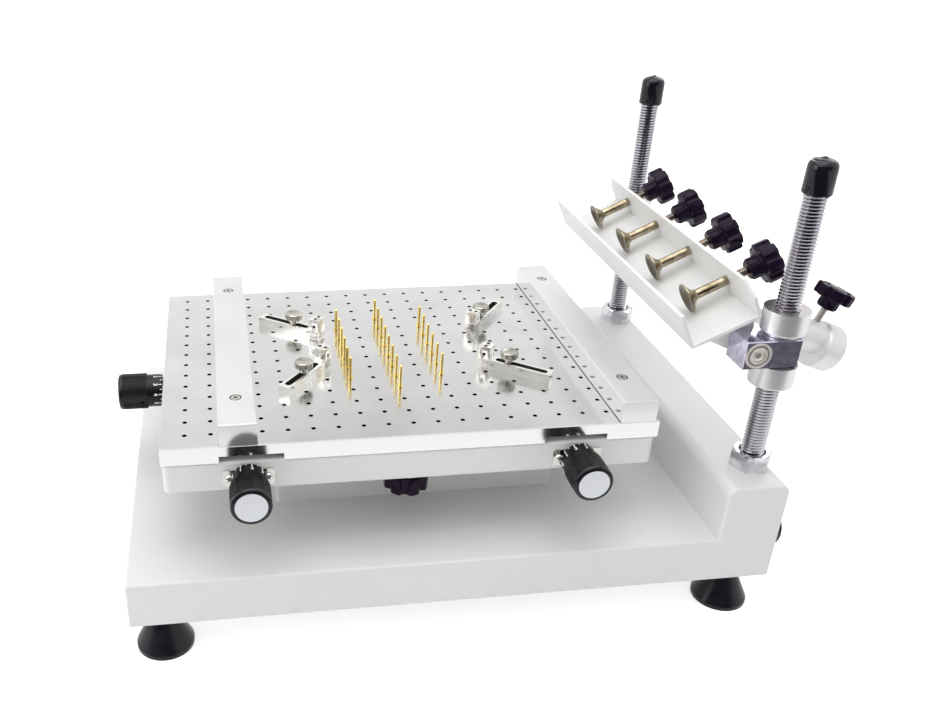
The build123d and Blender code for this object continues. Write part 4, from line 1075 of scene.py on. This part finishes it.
@dataclass
class ClampHead(Assembly):
    """Channel with its clamp screws and star knobs."""

    disc_radius: float = 9.5
    sleeve_radius: float = 3.0
    dish: float = 2.0
    stud_start: float = 25.0
    stud_end: float = 43.5
    pin_radius: float = 3.95
    pin_length: float = 25.8
    pin_setback: float = 1.1
    knob_roll: float = 17.0
    knob: StarKnob = field(default_factory=StarKnob)

    def screw(self) -> Mesh:
        """Dished disc that flows into its sleeve, with the stud behind it."""
        r, s = self.disc_radius, self.sleeve_radius
        rim = -self.dish
        bm = turned([
            (0, 0.1), (2.6, 0), (r * 0.6, rim * 0.45), (r - 1.1, rim + 0.1), (r - 0.5, rim), (r, rim + 0.3),
            (r, rim + 0.8), (r - 0.4, rim + 1.1), (s + 2.9, 1.2), (s + 1.1, 2.6), (s, 4.4),
            (s, self.stud_start - 0.3), (s - 0.3, self.stud_start), (0, self.stud_start),
        ], 56)
        # Painted shade: the dish's hollow face takes the dark third material.
        mark(bm, lambda spot, normal: normal.z < -0.5 and spot.xy.length < r - 0.5, 2)
        merge_in(bm, threaded(s - 0.1, s - 0.6, 1.0, self.stud_start - 0.5, self.stud_end, 16))
        return bm

    def bearing(self) -> Mesh:
        """Outer race, dark shield and inner race, with its face at Z = 0."""
        bm = turned([(4.05, -0.5), (4.05, -0.1), (4.2, 0), (5.2, 0), (5.35, -0.15), (5.35, -0.8), (6.7, -0.8),
                     (6.7, -0.15), (6.85, 0), (7.8, 0), (8.0, -0.2), (8.0, -6.6), (4.05, -6.6)], 56)
        merge_in(bm, turned([(5.3, -0.9), (5.3, -0.55), (6.75, -0.55), (6.75, -0.9)], 56), material=1)
        return bm

    def build(self, studio: Studio, finish: Finishes) -> None:
        """Adds screws, knobs and bearings and dresses the channel."""
        for index in range(1, 5):
            joint, node, knob = f"clamp_knob_{index}_turn", f"clamp_screw_{index}", f"clamp_knob_{index}"
            place = studio.on_hinge(node, joint, studio.length(node, joint) - self.dish)
            studio.piece(self.screw(), f"disc_screw_{index}", node, [finish.nickel, finish.root, finish.dish],
                         place, (node,), 30.0)
            place = studio.on_hinge(knob, joint, self.knob.height, roll=self.knob_roll * index)
            studio.piece(self.knob.mesh(), f"star_knob_{index}", knob, [finish.knob], place, (knob,),
                         34.0)
        self.build_hinges(studio, finish)
        studio.dress(finish.powder, "clamp_channel")
        studio.dress(finish.block, "near_hinge_block", "far_hinge_block")

    def build_hinges(self, studio: Studio, finish: Finishes) -> None:
        """Adds the bearings and the heads of the pivot pins."""
        low, high = studio.span("hinge_bearings")
        middle = (low + high) / 2
        races, heads = bmesh.new(), bmesh.new()
        for outer, direction in ((low.y, Vector((0, -1, 0))), (high.y, Vector((0, 1, 0)))):
            merge_in(races, self.bearing(), facing(direction, Vector((middle.x, outer, middle.z))))
            head = Screw(self.pin_radius, 0.5, self.pin_radius, self.pin_length, Recess.HEXAGON).mesh()
            seat = outer - direction.y * self.pin_setback
            merge_in(heads, head, facing(direction, Vector((middle.x, seat, middle.z))))
        studio.piece(races, "bearing_races", "lift", [finish.race, finish.shield],
                     replaces=("hinge_bearings",))
        studio.piece(heads, "pivot_screws", "channel", [finish.race, finish.shield],
                     replaces=("pivot_pins",))


@dataclass
class BalanceWeight(Assembly):
    """Weight behind the channel, with its lock knob."""

    knob: StarKnob = field(default_factory=lambda: StarKnob(12.2, 7.5, 6.1, 6.5))
    screw_radius: float = 2.5
    screw_pitch: float = 0.8

    def build(self, studio: Studio, finish: Finishes) -> None:
        """Adds the knob with its screw and dresses the weight and its arm."""
        node, joint = "weight_knob", "weight_knob_turn"
        bm = self.knob.mesh()
        low = self.knob.height - studio.length(node, joint)
        outer = self.screw_radius
        merge_in(bm, threaded(outer - 0.02, outer - 0.45, self.screw_pitch, low, 0.5, 16), material=1)
        studio.piece(bm, "weight_star_knob", node, [finish.knob, finish.bright, finish.thumb],
                     studio.on_hinge(node, joint, self.knob.height), (node,), 34.0)
        studio.dress(finish.weight, "balance_weight", "balance_arm")


@dataclass(frozen=True)
class Corner:
    """Where a corner clamp points, in degrees, and how far its jaw lies from its screw."""

    angle: float
    jaw_end: float


@dataclass
class CornerClamps(Assembly):
    """Slotted clamps with upright jaws, and their thumb screws."""

    corners: dict[str, Corner] = field(default_factory=lambda: {
        "near_left": Corner(52.0, 27.0), "far_left": Corner(-37.0, 23.0),
        "near_right": Corner(142.0, 20.0), "far_right": Corner(-128.0, 17.5)})
    length: float = 50.0
    width: float = 8.0
    height: float = 6.0
    jaw_length: float = 8.0
    jaw_height: float = 15.0
    slot_start: float = 3.0
    slot_length: float = 36.0
    slot_width: float = 4.4
    hole_radius: float = 1.0
    hole_height: float = 9.5
    dot_offset: float = 2.2
    dot_rise: float = 0.2

    def clamp(self, jaw_end: float) -> Mesh:
        """One clamp with its jaw towards +X and its screw hole at the origin.

        Args:
            jaw_end: distance from the screw to the end of the jaw.

        Returns:
            The mesh.
        """
        tail = jaw_end - self.length
        half = self.slot_width / 2
        bar = box_mesh((self.length, self.width, self.height), (tail + self.length / 2, 0, self.height / 2))
        middle = tail + self.slot_start + self.slot_length / 2
        straight = self.slot_length - self.slot_width
        slot = box_mesh((straight, self.slot_width, 20), (middle, 0, self.height / 2))
        bar = carve(bar, slot)
        for side in (-1, 1):
            round_end = drum(half, -3, 12, 24)
            round_end.transform(placed((middle + side * straight / 2, 0, 0)))
            bar = carve(bar, round_end)
        along, across = self.slot_length / 2 + 0.01, half + 0.01
        # Painted shade: the slot's walls take the dark second material.
        mark(bar, lambda spot, normal: abs(spot.x - middle) < along and abs(spot.y) < across
             and abs(normal.z) < 0.5)
        rounded(bar, 0.35, 2, 50)
        merge_in(bar, self.jaw(jaw_end))
        return bar

    def jaw(self, jaw_end: float) -> Mesh:
        """The upright jaw, with its side hole and set screws.

        Args:
            jaw_end: distance from the thumb screw to the end of the jaw.

        Returns:
            The mesh.
        """
        middle = jaw_end - self.jaw_length / 2
        top = self.jaw_height - self.dot_rise
        bm = box_mesh((self.jaw_length, self.width, top), (middle, 0, top / 2))
        centre = Vector((middle, 0, self.hole_height))
        hole = drum(self.hole_radius, -9, 9, 20)
        hole.transform(placed(centre) @ Matrix.Rotation(pi / 2, 4, "X"))
        bm = carve(bm, hole)
        # Painted shade: the hole's wall takes the dark second material.
        reach = self.hole_radius + 0.01
        mark(bm, lambda spot, normal: (spot - centre).xz.length < reach and abs(normal.y) < 0.5)
        rounded(bm, 0.3, 2, 50)
        for side in (-1, 1):
            dot = turned([(0, -0.5), (1.2, -0.5), (1.2, 0), (0.6, -0.1), (0, -0.15)], 16)
            merge_in(bm, dot, placed((middle, side * self.dot_offset, self.jaw_height)), 1)
        return bm

    def thumb_screw(self) -> Mesh:
        """Round head with a fine knurl, a waist and its shank."""
        bm = turned([(0, -6), (1.3, -6), (1.3, 6.3), (2.8, 6.3), (2.8, 6.9), (2.2, 7.6), (2.2, 9.7),
                     (5.2, 9.7), (5.75, 10.5), (0, 10.5)], 40)
        merge_in(bm, fluted(6.0, 0.16, 44, 10.5, 13.4))
        merge_in(bm, turned([(0, 13.3), (5.8, 13.3), (5.75, 13.8), (5.2, 14.3), (4.4, 14.3),
                             (3.8, 14.05), (0, 13.95)], 44))
        return bm

    def build(self, studio: Studio, finish: Finishes) -> None:
        """Adds the four clamps and their screws."""
        top = studio.span("perforated_plate")[1].z
        for name, corner in self.corners.items():
            centre = studio.middle(f"thumb_screw_{name}")
            place = placed((centre.x, centre.y, top), corner.angle)
            studio.piece(self.clamp(corner.jaw_end), f"clamp_bar_{name}", f"corner_clamp_{name}",
                         [finish.bright, finish.dark], place, (f"corner_clamp_{name}",), 30.0)
            studio.piece(self.thumb_screw(), f"thumb_head_{name}", f"thumb_screw_{name}", [finish.thumb],
                         place, (f"thumb_screw_{name}",), 30.0)


@dataclass
class Table(Assembly):
    """Worktable with its plate, bars, screws and pins."""

    bar_screw: Screw = Screw(2.9, 2.0, 2.0, 19.0, Recess.CROSS, True)
    bar_screw_hole: float = 3.6
    bar_screw_turns: Pair = (25.0, 60.0)
    bar_screw_gap: Pair = (0.7, 0.3)
    stud_radius: float = 4.0
    # Height and depth of the painted shadow strips along the bars' feet.
    seam: float = 0.3
    lock: StarKnob = field(default_factory=lambda: StarKnob(14.0, 12.0, 7.0, 3.0, ribs=0))

    def build(self, studio: Studio, finish: Finishes) -> None:
        """Adds the screws and the lock knob and dresses the worktable."""
        low, high = studio.span("bar_screws")
        reach = self.bar_screw_hole
        wide, deep = self.bar_screw_gap
        screws = bmesh.new()
        for x, turn in zip((low.x + reach, high.x - reach), self.bar_screw_turns):
            for y in (low.y + reach, high.y - reach):
                place = placed((x, y, high.z), turn + y)
                merge_in(screws, self.bar_screw.mesh(), place)
                # Painted shadow: a dark ring of the second material round each screw head.
                gap = turned([(reach - wide, -deep), (reach - wide, 0), (reach, 0), (reach, -deep)], 36)
                merge_in(screws, gap, place, 1)
        studio.piece(screws, "bar_cross_screws", "table", [finish.flange, finish.dark],
                     replaces=("bar_screws",), smooth=30.0)
        self.build_lock(studio, finish)
        self.build_seams(studio, finish)
        studio.dress(finish.powder, "tray")
        studio.dress(finish.plate, "perforated_plate")
        studio.dress(finish.bars, "left_bar", "right_bar")
        studio.dress(finish.gold, "locating_pins")
        studio.dress(finish.bright, "lock_washer")
        studio.dress(finish.slides, "slide_bed", "y_carriage", "x_carriage")

    def build_seams(self, studio: Studio, finish: Finishes) -> None:
        """Adds thin dark strips of painted shadow where the bars stand on the plate."""
        seam_shadows = bmesh.new()
        for bar in ("left_bar", "right_bar"):
            low, high = studio.span(bar)
            length = high.y - low.y - 1.0
            for x in (low.x - 0.05, high.x + 0.05):
                centre = (x, (low.y + high.y) / 2, low.z + 0.02 + self.seam / 2)
                merge_in(seam_shadows, box_mesh((self.seam, length, self.seam), centre))
        studio.piece(seam_shadows, "bar_seam_shadows", "table", [finish.dark])

    def build_lock(self, studio: Studio, finish: Finishes) -> None:
        """Adds the knob under the tray, with its stud."""
        node, joint = "lock_knob", "table_lock_turn"
        bm = self.lock.mesh()
        low = self.lock.height - studio.length(node, joint)
        merge_in(bm, drum(self.stud_radius, low, 0.5, 32), material=1)
        place = studio.on_hinge(node, joint, self.lock.height, flip=True)
        studio.piece(bm, "lock_star_knob", "table_lock", [finish.knob, finish.bright], place, (node,),
                     34.0)


@dataclass
class Dials(Assembly):
    """Dial knobs of the fine adjustment, with ribs, ticks and numbers."""

    skirt_radius: float = 10.8
    skirt: Pair = (3.1, 13.1)
    grip_radius: float = 11.9
    grip_end: float = 31.8
    nose: float = 2.6
    face_radius: float = 9.35
    spindle_radius: float = 3.0
    numbers: int = 10
    number_height: float = 3.6
    long_tick: Triple = (0.5, 2.4, 0.12)
    short_tick: Triple = (0.45, 1.3, 0.12)
    drill_radius: float = 1.2
    drill_depth: float = 2.5
    drill_turn: float = -14.0
    screw: Screw = Screw(2.6, 1.5, 1.45, 1.4)
    screw_reach: float = 11.5
    screw_turn: float = 35.0
    offsets: dict[str, float] = field(default_factory=lambda: {
        "front_left": 10.0, "front_right": -22.0, "left": 6.0})

    def frame(self, studio: Studio, name: str) -> Matrix:
        """Place on the tray wall with Z out along a dial."""
        face = studio.middle(f"dial_face_{name}")
        wall = studio.span("tray")[0]
        if name == "left":
            return facing(Vector((-1, 0, 0)), Vector((wall.x, face.y, face.z)))
        return facing(Vector((0, -1, 0)), Vector((face.x, wall.y, face.z)))

    def marks(self, offset: float) -> Mesh:
        """Ticks and numbers round the skirt.

        Args:
            offset: angle of the number 2 from the top, in degrees.

        Returns:
            The raised marks.
        """
        bm = bmesh.new()
        step = 360 / self.numbers
        edge = self.skirt[0]
        for number in range(self.numbers):
            angle = 90 - offset - step * (number - 2)
            for tick, away in ((self.long_tick, 0), (self.short_tick, step / 2)):
                mark = box_mesh(tick, (0, 0, 0.02))
                merge_in(bm, wrapped(mark, self.skirt_radius, angle + away, edge + 0.2 + tick[1] / 2))
            mark = figure(str(number), self.number_height)
            merge_in(bm, wrapped(mark, self.skirt_radius + 0.03, angle, edge + 5.6))
        return bm

    def knob(self, hole: bool) -> Mesh:
        """Skirt, ribbed grip and smooth nose.

        Args:
            hole: whether the set screw's hole shows.

        Returns:
            The mesh, standing on the tray wall.
        """
        low, high = self.skirt
        r, g = self.skirt_radius, self.grip_radius
        bm = turned([(0, low), (r - 0.4, low), (r, low + 0.4), (r, high + 0.3), (0, high + 0.3)], 72)
        grip = fluted(g, 0.32, 64, high + 0.5, self.grip_end - self.nose)
        if hole:
            drill = drum(self.drill_radius, 0, 6, 20)
            drill.transform(placed((0, 0, high + 3.4), self.drill_turn)
                            @ placed((g - self.drill_depth, 0, 0)) @ Matrix.Rotation(pi / 2, 4, "Y"))
            grip = carve(grip, drill)
        merge_in(bm, grip)
        top, f = self.grip_end, self.face_radius
        merge_in(bm, turned([(0, high), (g - 0.7, high), (g - 0.25, high + 0.5), (g - 0.4, high + 0.6),
                             (0, high + 0.6)], 72))
        foot = top - self.nose
        nose = turned([(0, foot - 0.1), (g - 0.4, foot - 0.1), (g - 0.05, foot), (g, foot + 0.5),
                       (g - 0.1, top - 1.1), (g - 0.5, top - 0.5), (g - 1.1, top - 0.12), (g - 1.5, top),
                       (f, top), (f, top - 0.8), (0, top - 0.8)], 72)
        merge_in(bm, nose, material=3)
        return bm

    def build(self, studio: Studio, finish: Finishes) -> None:
        """Adds the dials, their end discs and their flange plates' screws."""
        for name, offset in self.offsets.items():
            place = self.frame(studio, name)
            bm = self.knob(name == "left")
            merge_in(bm, self.marks(offset), material=1)
            out = (place.to_3x3() @ Vector((0, 0, 1))).normalized()
            reach = studio.along(f"dial_knob_{name}", out)[0] - place.translation.dot(out)
            shaft = turned([(0, reach), (2.6, reach), (self.spindle_radius, reach + 0.4),
                            (self.spindle_radius, self.skirt[0] + 0.5), (0, self.skirt[0] + 0.5)], 32)
            merge_in(bm, shaft, material=2)
            studio.piece(bm, f"scale_dial_{name}", f"dial_{name}",
                         [finish.dial, finish.ink, finish.bright, finish.nose], place, (f"dial_knob_{name}",),
                         34.0)
            centre = studio.middle(f"dial_face_{name}") * MM
            direction = "X" if name == "left" else "Y"
            studio.dress(SpunDisc(f"spun_{name}", tuple(centre), direction).material(), f"dial_face_{name}")
        self.build_screws(studio, finish)
        studio.dress(finish.flange, "dial_flanges")

    def build_screws(self, studio: Studio, finish: Finishes) -> None:
        """Adds the cross screws of the flange plates."""
        screws = bmesh.new()
        for name in self.offsets:
            for side in (-1, 1):
                spot = placed((side * self.screw_reach, 0, self.screw.height), self.screw_turn * side)
                merge_in(screws, self.screw.mesh(), self.frame(studio, name) @ spot)
        studio.piece(screws, "flange_cross_screws", "table", [finish.bright, finish.dark],
                     replaces=("flange_screws",), smooth=30.0)


@dataclass
class Base(Assembly):
    """Base housing, pedestal, feet and plug."""

    feet: tuple[str, ...] = ("near_left", "near_right", "far_left", "far_right")

    def build(self, studio: Studio, finish: Finishes) -> None:
        """Dresses the base."""
        studio.dress(finish.powder, "base_body", "base_cover", "pedestal")
        studio.dress(finish.cap, "side_plug")
        for name in self.feet:
            studio.dress(finish.foot, f"foot_{name}")


@dataclass(frozen=True)
class Lamp:
    """Place in metres, side in metres and power in watts of a lamp."""

    place: Triple
    size: float
    watts: float


@dataclass
class PhotoRoom:
    """Floor, light and camera."""

    focal_px: float = 967.66
    picture: tuple[int, int] = (933, 720)
    centre_px: Pair = (358.22, 388.87)
    sensor: float = 36.0
    clip: Pair = (0.01, 50.0)
    eye: Triple = (-160.101, -582.06, 426.40)
    right: Triple = (0.9895813, -0.1427335, 0.0188697)
    down: Triple = (-0.0517093, -0.4746635, -0.8786471)
    forward: Triple = (0.1343691, 0.8685170, -0.4770988)
    floor_half: float = 6.0
    floor_glow: float = 0.6
    fill: float = 0.55
    dark_tone: Colour = (0.04, 0.035, 0.05)
    wall_tone: Colour = (0.57, 0.57, 0.57)
    dark_floor: dict[str, Pair] = field(default_factory=lambda: {
        "Y": (-0.33, -0.42), "X": (0.75, 0.45)})
    dark_room: dict[str, Pair] = field(default_factory=lambda: {
        "Y": (-0.1, -0.35), "Z": (0.75, 0.45), "X": (0.75, 0.45)})
    grey_wall: dict[str, Pair] = field(default_factory=lambda: {
        "Y": (0.1, 0.4), "Z": (0.40, 0.60), "X": (-0.15, 0.15)})
    lamps: dict[str, Lamp] = field(default_factory=lambda: {
        "top": Lamp((-0.1, 0.1, 1.6), 1.4, 11.0), "key": Lamp((-0.9, -0.7, 1.3), 1.0, 4.0),
        "left": Lamp((-1.5, -0.2, 0.6), 1.0, 6.0), "rim": Lamp((0.9, 0.8, 1.1), 0.9, 4.0)})
    lamp_target: Triple = (0, 0, 0.1)

    def floor(self) -> None:
        """A pale floor that fades into the white background."""
        bm = bmesh.new()
        bmesh.ops.create_grid(bm, x_segments=8, y_segments=8, size=self.floor_half)
        mesh = bpy.data.meshes.new("floor")
        bm.to_mesh(mesh)
        bm.free()
        mesh.materials.append(self.floor_paper())
        add_object("floor", mesh)

    def floor_paper(self) -> Material:
        """Pale paper that looks white to the eye and takes the printer's shadow.

        Returns:
            The floor's material.
        """
        sheet = NodeSheet("floor_paper")
        paper = sheet.blend(sheet.noise(3.0, 1.0), (0.93, 0.93, 0.93), (0.91, 0.91, 0.91))
        sheet.link(paper, sheet.shader.inputs["Base Color"])
        sheet.set(Roughness=0.9)
        light = sheet.add("ShaderNodeEmission")
        sheet.link(sheet.reckon("MULTIPLY", sheet.seen(), self.floor_glow), light.inputs["Strength"])
        lit = sheet.add("ShaderNodeAddShader")
        sheet.link(sheet.shader.outputs["BSDF"], lit.inputs[0])
        sheet.link(light.outputs[0], lit.inputs[1])
        mirror = sheet.add("ShaderNodeEmission")
        sheet.link(sheet.shade("Object", self.dark_floor, self.dark_tone), mirror.inputs["Color"])
        mix = sheet.add("ShaderNodeMixShader")
        sheet.link(sheet.add("ShaderNodeLightPath").outputs["Is Glossy Ray"], mix.inputs[0])
        sheet.link(lit.outputs[0], mix.inputs[1])
        sheet.link(mirror.outputs[0], mix.inputs[2])
        sheet.link(mix.outputs[0], sheet.out.inputs["Surface"])
        return sheet.material

    def world(self) -> None:
        """White surroundings for eye and metal, and a plain soft fill for the rest."""
        world = bpy.data.worlds.new("studio")
        bpy.context.scene.world = world
        world.use_nodes = True
        board = NodeBoard(world.node_tree)
        fill = board.add("ShaderNodeBackground", Color=(1, 1, 1, 1), Strength=self.fill)
        white = board.add("ShaderNodeBackground", Strength=1.0)
        wall = board.shade("Generated", self.grey_wall, self.wall_tone)
        room = board.shade("Generated", self.dark_room, self.dark_tone, wall)
        board.link(room, white.inputs["Color"])
        mix = board.add("ShaderNodeMixShader")
        out = board.add("ShaderNodeOutputWorld")
        board.link(board.seen(), mix.inputs[0])
        board.link(fill.outputs[0], mix.inputs[1])
        board.link(white.outputs[0], mix.inputs[2])
        board.link(mix.outputs[0], out.inputs["Surface"])

    def hang(self, name: str, lamp: Lamp) -> None:
        """Hangs a soft square lamp that looks at the printer.

        Args:
            name: name of the lamp.
            lamp: its place, size and power.
        """
        light = bpy.data.lights.new(name, "AREA")
        light.size = lamp.size
        light.energy = lamp.watts
        thing = add_object(name, light)
        thing.location = lamp.place
        sight = Vector(self.lamp_target) - Vector(lamp.place)
        thing.rotation_euler = sight.to_track_quat("-Z", "Y").to_euler()

    def camera(self) -> None:
        """The camera at the photograph's place."""
        wide, high = self.picture
        data = bpy.data.cameras.new("camera")
        data.sensor_fit = "HORIZONTAL"
        data.sensor_width = self.sensor
        data.lens = self.focal_px * self.sensor / wide
        data.shift_x = (wide / 2 - self.centre_px[0]) / wide
        data.shift_y = (self.centre_px[1] - high / 2) / wide
        data.clip_start, data.clip_end = self.clip
        thing = add_object("camera", data)
        axes = Matrix((self.right, -Vector(self.down), -Vector(self.forward))).transposed()
        thing.matrix_world = Matrix.Translation(Vector(self.eye) * MM) @ axes.to_4x4()
        bpy.context.scene.camera = thing

    def build(self) -> None:
        """Sets up the whole room."""
        bpy.context.scene.view_settings.view_transform = "Standard"
        self.floor()
        self.world()
        for name, lamp in self.lamps.items():
            self.hang(name, lamp)
        self.camera()


def main() -> None:
    """Builds the dressed printer and its room."""
    logging.basicConfig(level=logging.INFO, format="%(message)s")
    studio = Studio()
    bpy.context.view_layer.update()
    finish = Finishes()
    for part in (Base(), Rods(), ClampHead(), BalanceWeight(), Table(), CornerClamps(), Dials()):
        part.build(studio, finish)
        LOG.info("%s done", type(part).__name__)
    PhotoRoom().build()
    LOG.info("%d new pieces", studio.count)


if __name__ == "__main__":
    main()
